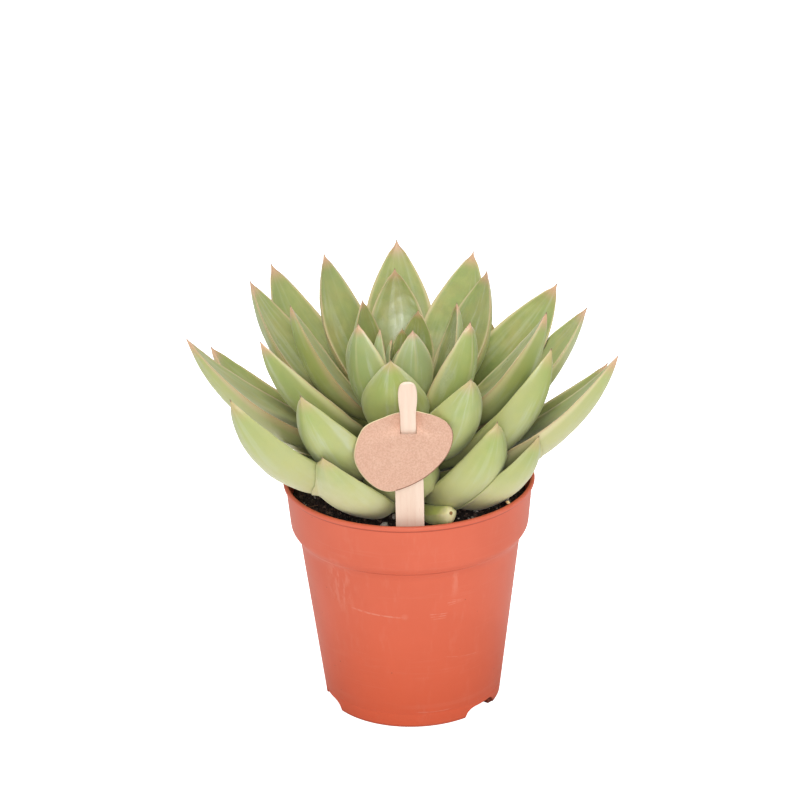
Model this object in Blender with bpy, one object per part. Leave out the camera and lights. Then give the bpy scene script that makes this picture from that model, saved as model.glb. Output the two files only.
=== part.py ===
"""Potted echeveria: a rosette of fleshy leaves in a plastic nursery pot, with a card label on a wooden stick.

Metres, +Z up. The floor is z = 0, the front of the plant faces -Y, and the origin is under the middle of the
whole plant's box. The pot stands a little in front of it, because the leaves reach further back than forward.
"""
import math

import bmesh
import bpy
from mathutils import Matrix, Vector
from mathutils.bvhtree import BVHTree

MM = 0.001
GAP = 0.3 * MM  # between pieces that touch

# Where the pot's own axis stands, and the plant's axis beside it
POT_X = 1.8 * MM
POT_Y = -8.4 * MM
PLANT_SHIFT_X = -2.0 * MM

# The pot
RIM_R = 52.5 * MM
POT_HEIGHT = 98.8 * MM
FOOT_R = 36.9 * MM
BODY_TOP_R = 46.1 * MM
BODY_TOP_Z = 72.5 * MM
COLLAR_LOW_R = 49.8 * MM
COLLAR_LOW_Z = 79.5 * MM
COLLAR_TOP_R = 51.4 * MM
COLLAR_TOP_Z = 96.6 * MM
POT_WALL = 1.1 * MM
POT_FLOOR_Z = 4.5 * MM  # underside of the floor, above the feet
POT_FLOOR = 1.2 * MM
FOOT_WIDTH = 1.5 * MM
POT_SIDES = 48
NOTCH_ANGLES = (50.5 - 90, -70.0 - 90, 170.0 - 90)  # degrees from +X
NOTCH_WIDTH = 18.5 * MM
NOTCH_HEIGHT = 4.5 * MM
DRAIN_COUNT = 6
DRAIN_R = 3.5 * MM
DRAIN_CIRCLE = 24.0 * MM
DRAIN_FIRST = math.radians(26.0)

# The soil
SOIL_TOP = 89.0 * MM
SOIL_LUMP = 1.1 * MM
SOIL_SIDES = 40

# The stem, which stands in a hole in the soil
STEM_R = 10.0 * MM
STEM_FOOT_R = 5.0 * MM
STEM_FOOT_Z = 62.0 * MM
CROWN_LOW = 98.0 * MM
CROWN_TOP = 129.0 * MM
STEM_SIDES = 16

# The rosette: leaf 0 is the innermost, and each next one is turned by the golden angle
LEAF_COUNT = 42
GOLDEN_ANGLE = 137.5
FIRST_AZIMUTH = 200.0
BUD_LEAVES = 7

# The label
STICK_THICK = 1.8 * MM
STICK_LEAN = math.radians(7.0)
STICK_AT_RIM_Y = -46.5 * MM
STICK_LOW_Z = 50.0 * MM
STICK_TOP_Z = 163.1 * MM
STICK_HALF_WIDTH = 5.75 * MM
NECK_HALF_WIDTH = 3.1 * MM
HEAD_HALF_WIDTH = 3.75 * MM
CARD_THICK = 1.0 * MM
CARD_X = -2.1 * MM
CARD_Z = 131.7 * MM
SLOT_X = 1.8 * MM  # from the card's middle
SLOT_UP = 9.5 * MM
SLOT_HALF_WIDTH = 4.2 * MM
SLOT_HALF_HEIGHT = 1.3 * MM
CARD_STEP = 2.3 * MM  # how far the bent sheet stands off the stick's middle plane, before and behind it
CARD_TILT = math.tan(math.radians(8.0))
CARD_SIDES = 36

# One leaf's own departures from the rule, by its number: turn in degrees, rise in degrees, longer in mm,
# bend in degrees, wider in mm
LEAF_OWN = {
    0: (0, 0, 2, 0, 0),
    1: (0, -5, 0, 0, 0),
    2: (2, -1, -1, 0, 0),
    3: (0, 3, -1, 0, 0),
    4: (0, 1, -3, 0, 0),
    5: (0, 1, -3, 0, 0),
    6: (-2, 0, 0, 0, 0),
    7: (0, -1, -2, 0, 0),
    8: (6, -3, 0, -12, 1),
    9: (-1, -3, 0.5, 3, 0.5),
    10: (0, -3, -9, 0, 0),
    11: (0, 3, 4, -6, -2),
    12: (0, -4, 1, -4, 0),
    13: (-4, -5, 1, -5, 0),
    14: (-12, -4.5, 7, -6, -1),
    15: (0, -1, -8, -12, -3),
    16: (5, 5, 5, -9, 0),
    17: (6, -4, 5, -5, 0.5),
    18: (-8, -2.5, 0, -4, -3),
    19: (-17, 3, 9, 0, 0),
    20: (3, 6.5, 0, -4, 0),
    21: (0, -3, 15, 0, 0),
    22: (0, -6, -16, 0, 0),
    23: (-3, -3, -48, -10, -6),
    24: (-5, 7.5, 8, -3, 0),
    25: (7, 4.5, 3.5, -12, 0),
    26: (-4, -1, 11, 9, 1),
    27: (0, -3, -4, 0, 0),
    28: (0, 4, -22, 15, -1),
    29: (0, 1.5, -2, 0, 0),
    30: (4, -6, -12, 0, 0),
    31: (10, 15.5, -35, 30, 1),
    32: (0, -5, -8, 0, 0),
    33: (0, 5.5, 21.5, -8, 0),
    34: (-4, -10, -28, 0, -3),
    35: (0, -7, -8, 0, 0),
    36: (2, -26, -31, -34, -14),
    37: (-2, -9, -18, 0, -2),
    38: (-8, 0, 21, 0, 0),
    39: (4, 3.5, 4.5, -10, 0),
    40: (0, -8, -8, 0, -2),
    41: (6, 3.5, 5, 8, 2),
}

# Leaves that start lower on the stem or have a fuller belly than the rule gives: mm lower, mm thicker
LEAF_FULLER = {
    8: (0.0, 1.0),
    9: (0.0, 1.5),
    12: (0.0, 3.0),
    15: (4.0, 2.0),
    18: (6.0, 2.5),
    20: (7.0, 3.0),
    26: (3.5, 2.0),
    28: (8.5, 2.0),
    31: (4.5, 0.0),
    33: (2.5, 0.0),
    36: (5.0, -2.5),
    39: (7.0, -0.5),
    41: (3.0, 0.5),
}

# Leaves that lie rolled to one side, by their neighbours' push: degrees
LEAF_ROLL = {
    9: -8,
    11: 12,
    13: 8,
    17: 14,
    24: 6,
}


def material(name, colour, roughness):
    """A plain Principled material."""
    made = bpy.data.materials.new(name)
    made.use_nodes = True
    shader = made.node_tree.nodes["Principled BSDF"]
    shader.inputs["Base Color"].default_value = (*colour, 1.0)
    shader.inputs["Roughness"].default_value = roughness
    made.diffuse_color = (*colour, 1.0)
    return made


def add_object(name, shape, surface, place=(0.0, 0.0, 0.0), smooth_deg=40.0):
    """Turn a bmesh into a named object with its faces out, shaded smooth up to an angle."""
    bmesh.ops.recalc_face_normals(shape, faces=shape.faces)
    mesh = bpy.data.meshes.new(name)
    shape.to_mesh(mesh)
    shape.free()
    mesh.materials.append(surface)
    mesh.shade_smooth()
    mesh.set_sharp_from_angle(angle=math.radians(smooth_deg))
    made = bpy.data.objects.new(name, mesh)
    made.location = place
    bpy.context.scene.collection.objects.link(made)
    return made


def skin(shape, rings, first=None, last=None):
    """Join rings of points with faces; close each end with a face, or with a fan to a point."""
    rows = [[shape.verts.new(point) for point in ring] for ring in rings]
    count = len(rows[0])
    for low, high in zip(rows, rows[1:]):
        for i in range(count):
            j = (i + 1) % count
            shape.faces.new((low[i], low[j], high[j], high[i]))
    for row, tip in ((rows[0], first), (rows[-1], last)):
        if tip is None:
            shape.faces.new(row)
            continue
        end = shape.verts.new(tip)
        for i in range(count):
            shape.faces.new((row[i], row[(i + 1) % count], end))


def circle(radius, z, sides):
    """A ring of points round the Z axis."""
    turn = 2 * math.pi / sides
    return [Vector((radius * math.cos(i * turn), radius * math.sin(i * turn), z)) for i in range(sides)]


def turned(profile, sides):
    """A solid turned about Z from a profile that starts and ends on the axis."""
    shape = bmesh.new()
    rings = [circle(radius, z, sides) for radius, z in profile[1:-1]]
    skin(shape, rings, first=(0, 0, profile[0][1]), last=(0, 0, profile[-1][1]))
    return shape


def cut(target, cutter, operation="DIFFERENCE"):
    """Cut a hidden object out of another, or join it on."""
    cutter.hide_render = True
    cutter.display_type = "WIRE"
    step = target.modifiers.new("cut " + cutter.name, "BOOLEAN")
    step.operation = operation
    step.solver = "EXACT"
    step.object = cutter


def bake(target):
    """Make the cuts part of the mesh, and take the hidden objects away."""
    cutters = {step.object for step in target.modifiers}
    graph = bpy.context.evaluated_depsgraph_get()
    target.data = bpy.data.meshes.new_from_object(target.evaluated_get(graph))
    target.modifiers.clear()
    return cutters


def body_radius(z):
    """The pot's outer radius below the step."""
    return FOOT_R + (BODY_TOP_R - FOOT_R) * z / BODY_TOP_Z


# The pot


def pot_outside():
    """The pot's outer profile from the foot to the top of the lip."""
    bottom = [(FOOT_R - 0.5 * MM, 0.0), (FOOT_R, 0.6 * MM)]
    body = [(body_radius(z * MM), z * MM) for z in (5.0, 40.0)] + [(BODY_TOP_R, BODY_TOP_Z)]
    step = [
        (BODY_TOP_R + 0.9 * MM, BODY_TOP_Z + 2.0 * MM),
        (COLLAR_LOW_R - 1.4 * MM, COLLAR_LOW_Z - 3.1 * MM),
        (COLLAR_LOW_R - 0.4 * MM, COLLAR_LOW_Z - 1.5 * MM),
        (COLLAR_LOW_R, COLLAR_LOW_Z),
    ]
    lip = [
        (COLLAR_TOP_R, COLLAR_TOP_Z),
        (RIM_R - 0.2 * MM, COLLAR_TOP_Z + 0.3 * MM),
        (RIM_R, COLLAR_TOP_Z + 1.1 * MM),
        (RIM_R - 0.4 * MM, POT_HEIGHT - 0.3 * MM),
        (RIM_R - 1.0 * MM, POT_HEIGHT),
    ]
    return bottom + body + step + lip


def pot_inside():
    """The pot's inner profile from the lip down to the floor, one wall's thickness in."""
    lip = [(RIM_R - 1.9 * MM, POT_HEIGHT - 0.3 * MM), (COLLAR_TOP_R - POT_WALL, COLLAR_TOP_Z)]
    step = [
        (COLLAR_LOW_R - POT_WALL, COLLAR_LOW_Z),
        (COLLAR_LOW_R - 2.5 * MM, COLLAR_LOW_Z - 2.6 * MM),
        (BODY_TOP_R - POT_WALL, BODY_TOP_Z),
    ]
    floor_top = POT_FLOOR_Z + POT_FLOOR
    floor = [(body_radius(floor_top) - POT_WALL, floor_top + 0.8 * MM),
             (body_radius(floor_top) - POT_WALL - 0.8 * MM, floor_top)]
    return lip + step + floor


def notch_cutter(angle, number):
    """A low arch with rounded corners, laid radially through the skirt."""
    half = NOTCH_WIDTH / 2
    arch = [(-half - 1.0 * MM, -1.0 * MM), (-half, 0.6 * MM), (-half + 1.4 * MM, 3.0 * MM),
            (-half + 4.0 * MM, NOTCH_HEIGHT - 0.3 * MM)]
    outline = arch + [(-x, z) for x, z in reversed(arch)]
    shape = bmesh.new()
    skin(shape, [[Vector((r, x, z)) for x, z in outline] for r in (FOOT_R - 8.0 * MM, FOOT_R + 6.0 * MM)])
    bmesh.ops.rotate(shape, verts=shape.verts, matrix=Matrix.Rotation(math.radians(angle), 3, "Z"))
    return add_object(f"notch_{number}", shape, TERRACOTTA, (POT_X, POT_Y, 0.0))


def build_pot():
    skirt_inner = FOOT_R - FOOT_WIDTH
    under = [(skirt_inner - 0.5 * MM, POT_FLOOR_Z), (skirt_inner, POT_FLOOR_Z - 0.6 * MM), (skirt_inner, 0.0)]
    axis_low = [(0.0, POT_FLOOR_Z)]
    axis_high = [(0.0, POT_FLOOR_Z + POT_FLOOR)]
    profile = axis_low + under + pot_outside() + pot_inside() + axis_high
    pot = add_object("pot", turned(profile, POT_SIDES), TERRACOTTA, (POT_X, POT_Y, 0.0), smooth_deg=50.0)
    for number, angle in enumerate(NOTCH_ANGLES, 1):
        cut(pot, notch_cutter(angle, number))
    for number in range(DRAIN_COUNT):
        angle = DRAIN_FIRST + 2 * math.pi * number / DRAIN_COUNT
        shape = bmesh.new()
        skin(shape, [circle(DRAIN_R, z * MM, 12) for z in (3.0, 7.0)])
        place = (POT_X + DRAIN_CIRCLE * math.cos(angle), POT_Y + DRAIN_CIRCLE * math.sin(angle), 0.0)
        cut(pot, add_object(f"drain_{number}", shape, TERRACOTTA, place))


# The soil


def soil_height(x, y):
    """The lumpy top of the peat."""
    a, b = x / MM, y / MM
    waves = math.sin(0.31 * a + 1.0) * math.cos(0.27 * b) + 0.6 * math.sin(0.63 * b + 0.41 * a + 2.0)
    return SOIL_TOP + SOIL_LUMP * waves / 1.6


def build_soil():
    """Peat that fills the pot, with a plain hole for the stem and one for the stick."""
    side = [(radius - GAP, z) for radius, z in reversed(pot_inside()[1:])]
    side[0] = (side[0][0], side[0][1] + GAP)
    side[1] = (side[1][0], side[1][1] + GAP)
    wall = [point for point in side if point[1] < SOIL_TOP]
    low, high = side[-2], side[-1]
    top_r = low[0] + (high[0] - low[0]) * (SOIL_TOP - low[1]) / (high[1] - low[1]) - 0.2 * MM
    rings = [circle(radius, z, SOIL_SIDES) for radius, z in wall]
    for part in (1.0, 0.86, 0.7, 0.52, 0.34):
        ring = circle(top_r * part, 0.0, SOIL_SIDES)
        rings.append([Vector((p.x, p.y, soil_height(p.x, p.y))) for p in ring])
    shape = bmesh.new()
    skin(shape, rings, first=(0, 0, wall[0][1]), last=(0, 0, SOIL_TOP))
    soil = add_object("soil", shape, PEAT, (POT_X, POT_Y, 0.0), smooth_deg=60.0)
    hole = [(0.0, STEM_FOOT_Z - 2 * GAP)] + [(radius + GAP, z - GAP * (z < CROWN_LOW)) for radius, z in stem_side()]
    hole = [point for point in hole if point[1] < CROWN_LOW] + [(STEM_R + GAP, CROWN_LOW), (0.0, CROWN_LOW)]
    cut(soil, add_object("stem_hole", turned(hole, STEM_SIDES), PEAT, (POT_X + PLANT_SHIFT_X, POT_Y, 0.0)))
    cut(soil, build_stick("stick_hole", GAP))


# The stem


def stem_side():
    """The stem's profile from its foot in the soil to the crown's top."""
    foot = [(STEM_FOOT_R * 0.6, STEM_FOOT_Z), (STEM_FOOT_R, STEM_FOOT_Z + 4.0 * MM), (STEM_R, CROWN_LOW - 10 * MM)]
    crown = [(crown_radius(z * MM), z * MM) for z in (98.0, 106.0, 113.0, 119.0, 124.0, 127.0)]
    return foot + crown


def crown_radius(z):
    """The crown narrows like the upper half of an egg."""
    part = (z - CROWN_LOW) / (CROWN_TOP - CROWN_LOW)
    return STEM_R * math.sqrt(max(0.0, 1.0 - part * part))


def build_stem():
    profile = [(0.0, STEM_FOOT_Z)] + stem_side() + [(0.0, CROWN_TOP - 0.5 * MM)]
    add_object("stem", turned(profile, STEM_SIDES), STEM_GREEN, (POT_X + PLANT_SHIFT_X, POT_Y, 0.0))


# The leaves


def leaf_sizes(number):
    """The rule of the rosette: how the leaves change from the innermost, 0, to the lowest."""
    age = number / (LEAF_COUNT - 1)
    low = max(0.0, number - 24.0)
    oldest = max(0.0, number - 30.0)
    turn, rise, longer, bend, wider = LEAF_OWN.get(number, (0, 0, 0, 0, 0))
    lower, thicker = LEAF_FULLER.get(number, (0, 0))
    return {
        "azimuth": math.radians(FIRST_AZIMUTH - GOLDEN_ANGLE * number + turn),
        "rise": math.radians(24.0 + 60.0 * math.exp(-number / 15.0) + rise),
        "bend": math.radians(38.0 - 20.0 * math.exp(-number / 12.0) + 0.8 * low + bend),
        "length": (38.0 + 52.0 * (1.0 - math.exp(-number / 9.0)) - 2.6 * oldest + longer) * MM,
        "width": (31.5 - 17.0 * math.exp(-number / 7.0) + wider) * MM,
        "depth": (10.0 - 6.2 * math.exp(-number / 8.0) + thicker) * MM,
        "base_z": CROWN_TOP - 3.0 * MM - (CROWN_TOP - 3.0 * MM - 100.0 * MM) * age - lower * MM,
        "base_half": (4.4 - 1.6 * math.exp(-number / 5.0)) * MM,
        "base_depth": (3.6 - 1.2 * math.exp(-number / 5.0)) * MM,
        "roll": math.radians(LEAF_ROLL.get(number, 0)),
    }


def leaf_outline(s):
    """The half width along a leaf, as a share of the widest: round below, drawn out to a fine point."""
    widest = 0.54
    if s < widest:
        return math.sin(0.5 * math.pi * s / widest) ** 1.25
    return (1.0 - ((s - widest) / (1.0 - widest)) ** 2.0) ** 1.1


def leaf_belly(s):
    """The thickness along a leaf, as a share of the thickest."""
    thickest = 0.42
    if s < thickest:
        return math.sin(0.5 * math.pi * s / thickest)
    return 1.0 - ((s - thickest) / (1.0 - thickest)) ** 2.2


LEAF_STATIONS = (0.0, 0.09, 0.2, 0.33, 0.46, 0.6, 0.74, 0.86, 0.95)
UPPER_FACE = (-1.0, -0.6, 0.0, 0.6, 1.0)
LOWER_FACE = (0.9, 0.5, 0.0, -0.5, -0.9)


def leaf_rings(size, stations):
    """The cross sections of one leaf about the plant's axis, and its tip."""
    radial = Vector((math.cos(size["azimuth"]), math.sin(size["azimuth"]), 0.0))
    side = Vector((-radial.y, radial.x, 0.0))
    up = Vector((0.0, 0.0, 1.0))
    start = size["rise"] - size["bend"] / 2
    curl = size["bend"] / size["length"]
    slack = GAP + max(0.0, -math.sin(start)) * size["base_depth"] * 1.3
    foot = radial * (crown_radius(size["base_z"]) + slack) + up * size["base_z"]

    def spine(s):
        angle = start + size["bend"] * s
        out = (math.sin(angle) - math.sin(start)) / curl
        rise = (math.cos(start) - math.cos(angle)) / curl
        return foot + radial * out + up * rise, up * math.cos(angle) - radial * math.sin(angle)

    rings = []
    for s in stations:
        point, straight = spine(s)
        roll = size["roll"] * min(1.0, s / 0.4)
        across = side * math.cos(roll) + straight * math.sin(roll)
        face = straight * math.cos(roll) - side * math.sin(roll)
        blend = leaf_outline(s)
        half = max(size["width"] / 2 * blend, size["base_half"] * (1.0 - s / 0.4) + size["width"] / 2 * blend * s / 0.4
                   if s < 0.4 else 0.0)
        depth = max(size["depth"] * leaf_belly(s), size["base_depth"] * (1.0 - s / 0.3) + size["depth"]
                    * leaf_belly(s) * s / 0.3 if s < 0.3 else 0.0)
        hollow = 0.045 * size["width"] * blend
        ring = [point + across * (half * u) - face * (hollow * (1.0 - u * u)) for u in UPPER_FACE]
        for u in LOWER_FACE:
            drop = (depth + hollow) * (1.0 - abs(u) ** 2.3) ** 0.8
            ring.append(point + across * (half * u) - face * drop)
        rings.append(ring)
    return rings, spine(1.0)[0]


def build_leaf(name, size):
    rings, tip = leaf_rings(size, LEAF_STATIONS)
    shape = bmesh.new()
    skin(shape, rings, last=tip)
    return add_object(name, shape, LEAF_GREEN, (POT_X + PLANT_SHIFT_X, POT_Y, 0.0), smooth_deg=60.0)


def build_bud():
    """The unopened leaves, joined in one cone on the crown's top."""
    place = (POT_X + PLANT_SHIFT_X, POT_Y, 0.0)
    core = [(0.0, 129.0), (2.2, 129.3), (3.0, 133.0), (2.4, 139.0), (1.0, 144.0), (0.0, 145.5)]
    bud = add_object("bud", turned([(r * MM, z * MM) for r, z in core], 12), LEAF_GREEN, place, smooth_deg=60.0)
    for number in range(BUD_LEAVES):
        leaflet = build_leaf(f"leaflet_{number}", {
            "azimuth": math.radians(FIRST_AZIMUTH + GOLDEN_ANGLE * (number + 1)),
            "rise": math.radians(88.0 - 1.2 * number), "bend": math.radians(14.0 + number),
            "length": (24.0 + 1.6 * number) * MM, "width": (8.5 + 0.5 * number) * MM,
            "depth": (3.2 + 0.1 * number) * MM, "base_z": CROWN_TOP + 0.5 * MM,
            "base_half": 1.6 * MM, "base_depth": 2.0 * MM, "roll": 0.0,
        })
        cut(bud, leaflet, "UNION")
    for leaflet in bake(bud):
        bpy.data.objects.remove(leaflet)
    return bud


def swollen(source):
    """A copy that is larger by the gap on every side."""
    shape = bmesh.new()
    shape.from_mesh(source.data)
    shape.normal_update()
    moves = [vert.normal * GAP for vert in shape.verts]
    for vert, move in zip(shape.verts, moves):
        vert.co += move
    return add_object("swollen " + source.name, shape, LEAF_GREEN, source.location)


def faces_tree(source):
    """The faces of a mesh, to ask where two meshes meet."""
    mesh = source.data
    return BVHTree.FromPolygons([v.co for v in mesh.vertices], [p.vertices for p in mesh.polygons])


def build_leaves():
    """The rosette; each leaf is dented where the ones inside it press on it."""
    rosette = [build_bud()]
    rosette += [build_leaf(f"leaf_{number + 1:02d}", leaf_sizes(number)) for number in range(LEAF_COUNT)]
    pressing = [swollen(leaf) for leaf in rosette]
    trees = [faces_tree(leaf) for leaf in rosette]
    pressing_trees = [faces_tree(leaf) for leaf in pressing]
    for outer, leaf in enumerate(rosette):
        for inner in range(outer):
            if pressing_trees[inner].overlap(trees[outer]):
                cut(leaf, pressing[inner])
    for leaf in rosette:
        bake(leaf)
    for leaf in pressing:
        bpy.data.objects.remove(leaf)


# The label


def stick_outline(extra):
    """Half widths up the stick: a tapered end, the blade, a neck and a round head."""
    blade, neck, head = STICK_HALF_WIDTH / MM, NECK_HALF_WIDTH / MM, HEAD_HALF_WIDTH / MM
    rows = [
        (0.0, 2.2), (6.0, 5.0), (9.0, blade), (68.0, blade), (74.0, 5.2), (78.0, 3.4), (80.5, neck), (99.0, neck),
        (102.0, 3.45), (105.0, head), (108.5, head), (111.0, 3.2), (112.6, 2.0),
    ]
    points = [(half * MM + extra, low * MM) for low, half in rows]
    points.append((0.9 * MM, STICK_TOP_Z - STICK_LOW_Z))
    return points


def build_stick(name, extra=0.0):
    """A flat stick that leans out a little; a bit of extra size makes it the cutter of its own hole."""
    shape = bmesh.new()
    half = STICK_THICK / 2 + extra
    rings = []
    for width, along in stick_outline(extra):
        rings.append([Vector((x, y, along)) for x, y in ((-width, -half), (width, -half), (width, half), (-width, half))])
    if extra:
        rings[0] = [point - Vector((0, 0, extra)) for point in rings[0]]
    skin(shape, rings)
    return place_on_label(name, shape, BIRCH)


def place_on_label(name, shape, surface):
    """Lean a shape drawn on the upright stick, and stand it at the stick's foot."""
    bmesh.ops.rotate(shape, verts=shape.verts, matrix=Matrix.Rotation(STICK_LEAN, 3, "X"))
    foot_y = STICK_AT_RIM_Y + (POT_HEIGHT - STICK_LOW_Z) * math.tan(STICK_LEAN)
    return add_object(name, shape, surface, (POT_X, POT_Y + foot_y, STICK_LOW_Z), smooth_deg=30.0)


CARD_OUTLINE = (
    (2.3, 15.9), (10.9, 15.6), (17.3, 12.3), (19.6, 6.8), (16.4, -1.8), (7.3, -11.2),
    (-5.5, -16.1), (-14.1, -11.6), (-19.3, -0.5), (-15.5, 10.4), (-6.4, 14.6),
)  # mm from the card's middle, right and up


def card_edge(part):
    """A point of the card's rounded outline, by a closed smooth curve through its corner points."""
    count = len(CARD_OUTLINE)
    at = part * count
    low = int(math.floor(at)) % count
    t = at - math.floor(at)
    p = [Vector(CARD_OUTLINE[(low + i) % count]) for i in (-1, 0, 1, 2)]
    blend = 2 * p[1] + (p[2] - p[0]) * t + (2 * p[0] - 5 * p[1] + 4 * p[2] - p[3]) * t * t
    return 0.5 * (blend + (3 * p[1] - p[0] - 3 * p[2] + p[3]) * t ** 3) * MM


def card_depth(x, up):
    """How far the bent card stands behind the stick's middle plane: behind it above the slot, before it below."""
    aside = max(0.0, abs(x) - SLOT_HALF_WIDTH)
    reach = 1.2 * MM + 0.42 * aside
    return CARD_STEP * math.tanh(up / reach) + CARD_TILT * up


def card_point(x, up, side):
    """A point of the card's front (side -1) or back (+1), measured from the slot's middle."""
    nudge = 0.05 * MM
    slope_x = (card_depth(x + nudge, up) - card_depth(x - nudge, up)) / (2 * nudge)
    slope_up = (card_depth(x, up + nudge) - card_depth(x, up - nudge)) / (2 * nudge)
    out = Vector((-slope_x, 1.0, -slope_up)).normalized() * (side * CARD_THICK / 2)
    along = (CARD_Z - STICK_LOW_Z) / math.cos(STICK_LEAN) + SLOT_UP
    return Vector((CARD_X + SLOT_X + x, card_depth(x, up), along + up)) + out


def build_card():
    """A small bent card, threaded on the stick's neck by a slot."""
    middle = Vector((SLOT_X, SLOT_UP))
    edge = [card_edge(i / CARD_SIDES) - middle for i in range(CARD_SIDES)]
    slot = []
    for point in edge:
        reach = min(SLOT_HALF_WIDTH / max(abs(point.x), 1e-9), SLOT_HALF_HEIGHT / max(abs(point.y), 1e-9))
        slot.append(point * reach)
    shape = bmesh.new()
    rows = []
    parts = (0.0, 0.06, 0.15, 0.3, 0.55, 1.0)
    for side, shares in ((-1, parts), (1, parts[::-1])):
        for share in shares:
            ring = [inner.lerp(outer, share) for inner, outer in zip(slot, edge)]
            rows.append([shape.verts.new(card_point(point.x, point.y, side)) for point in ring])
    for low, high in zip(rows, rows[1:] + rows[:1]):
        for i in range(CARD_SIDES):
            j = (i + 1) % CARD_SIDES
            shape.faces.new((low[i], low[j], high[j], high[i]))
    place_on_label("label_card", shape, BOARD)


for old in list(bpy.data.objects):
    bpy.data.objects.remove(old)

TERRACOTTA = material("terracotta plastic", (0.62, 0.16, 0.07), 0.45)
PEAT = material("peat", (0.03, 0.02, 0.015), 0.95)
STEM_GREEN = material("stem", (0.30, 0.33, 0.13), 0.6)
LEAF_GREEN = material("leaf", (0.35, 0.45, 0.20), 0.45)
BIRCH = material("birch", (0.80, 0.62, 0.46), 0.7)
BOARD = material("brown board", (0.62, 0.42, 0.31), 0.85)

build_pot()
build_soil()
build_stem()
build_leaves()
build_stick("label_stick")
build_card()
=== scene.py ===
"""Potted echeveria, dressed for close views: a rosette of fleshy leaves in a plastic nursery pot, with a card
label on a wooden stick. Metres, +Z up, the front towards -Y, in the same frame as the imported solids.
"""
import math

import bmesh
import bpy
from mathutils import Matrix, Vector, noise
from mathutils.bvhtree import BVHTree


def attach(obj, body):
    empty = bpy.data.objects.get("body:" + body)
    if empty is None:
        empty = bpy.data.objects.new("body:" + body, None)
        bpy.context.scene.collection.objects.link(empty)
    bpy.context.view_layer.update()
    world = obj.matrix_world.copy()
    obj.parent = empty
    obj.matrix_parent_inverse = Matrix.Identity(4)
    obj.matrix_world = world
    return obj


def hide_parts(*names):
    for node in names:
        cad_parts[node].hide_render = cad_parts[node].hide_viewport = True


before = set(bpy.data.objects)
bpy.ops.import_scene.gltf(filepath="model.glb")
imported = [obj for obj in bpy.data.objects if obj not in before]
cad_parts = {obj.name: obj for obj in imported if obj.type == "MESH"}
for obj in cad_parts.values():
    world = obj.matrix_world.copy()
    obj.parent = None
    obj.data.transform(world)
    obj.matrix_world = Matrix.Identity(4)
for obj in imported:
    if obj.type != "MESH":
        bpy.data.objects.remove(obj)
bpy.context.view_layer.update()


# Nursery pot
# One injection-moulded piece of terracotta-orange polypropylene, 1.1 mm thick. A collar stiffens the rim, and
# three notches in the foot skirt let water out from the holes in the raised floor. It carries the rest.
MM = 0.001
POT_X, POT_Y = 1.8 * MM, -8.4 * MM
POT_FOOT = Vector((POT_X, POT_Y, 0.0))
POT_SIDES = 192
# In mm, and the angles in degrees
POT_TOP = 98.8
FOOT_R, BODY_TOP_R, BODY_TOP_Z, WALL = 36.9, 46.1, 72.5, 1.1
FLOOR_LOW, FLOOR_TOP = 4.5, 5.7
NOTCH_ANGLES, NOTCH_HALF, NOTCH_TOP = (-39.5, -160.0, 80.0), 9.25, 4.2
DRAIN_R, DRAIN_CIRCLE, DRAIN_COUNT, DRAIN_FIRST = 3.5, 24.0, 6, 26.0
LUG_SIZE, LUG_MIDDLE = Vector((3.2, 2.6, 1.8)), Vector((33.4, NOTCH_HALF - 1.0, 0.91))
SKIN_R = 45.0


def body_r(z):
    """The pot's outer radius below the step, in mm."""
    return FOOT_R + (BODY_TOP_R - FOOT_R) * z / BODY_TOP_Z


def eased(corners, steps=5):
    """A line with its corners rounded: each corner is across, up, and how far the rounding reaches."""
    line = []
    for number, (across, up, reach) in enumerate(corners):
        here = Vector((across, up))
        if not reach:
            line.append(here)
            continue
        before = Vector(corners[number - 1][:2]) - here
        after = Vector(corners[(number + 1) % len(corners)][:2]) - here
        start = here + before.normalized() * min(reach, before.length * 0.49)
        end = here + after.normalized() * min(reach, after.length * 0.49)
        for step in range(steps + 1):
            t = step / steps
            line.append(start * (1 - t) ** 2 + here * (2 * t * (1 - t)) + end * t ** 2)
    return line


def keep(name, shape, place=(0.0, 0.0, 0.0), sharp=40.0):
    """Finish a bmesh as an object at the origin with its place in its mesh and its faces out."""
    bmesh.ops.translate(shape, verts=shape.verts, vec=place)
    bmesh.ops.recalc_face_normals(shape, faces=shape.faces)
    mesh = bpy.data.meshes.new(name)
    shape.to_mesh(mesh)
    shape.free()
    mesh.shade_smooth()
    mesh.set_sharp_from_angle(angle=math.radians(sharp))
    made = bpy.data.objects.new(name, mesh)
    bpy.context.scene.collection.objects.link(made)
    return made


def strips(shape, rings, closed=False):
    """Join rings of points by faces, the last to the first too if closed, and give their corners by rows."""
    rows = [[shape.verts.new(point) for point in ring] for ring in rings]
    for low, high in zip(rows, rows[1:] + rows[:1] if closed else rows[1:]):
        for i, corner in enumerate(low):
            j = (i + 1) % len(low)
            shape.faces.new((corner, low[j], high[j], high[i]))
    return rows


def loft(rings, closed=False, low_tip=None, high_tip=None):
    """Rings of points as a closed mesh. Its ends are joined, or closed by a fan to a tip, or by one face."""
    shape = bmesh.new()
    rows = strips(shape, rings, closed)
    for row, tip in () if closed else ((rows[0], low_tip), (rows[-1], high_tip)):
        if tip is None:
            shape.faces.new(row)
            continue
        end = shape.verts.new(tip)
        for i, corner in enumerate(row):
            shape.faces.new((corner, row[(i + 1) % len(row)], end))
    return shape


def circles(profile, sides):
    """A level circle of points for each radius and height in mm."""
    angles = [2 * math.pi * i / sides for i in range(sides)]
    return [[Vector((r * math.cos(a), r * math.sin(a), z)) * MM for a in angles] for r, z in profile]


def turned(profile, sides):
    """A closed mesh turned about Z from a profile in mm that starts and ends on the axis."""
    rings = circles(profile[1:-1], sides)
    return loft(rings, low_tip=(0, 0, profile[0][1] * MM), high_tip=(0, 0, profile[-1][1] * MM))


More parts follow.
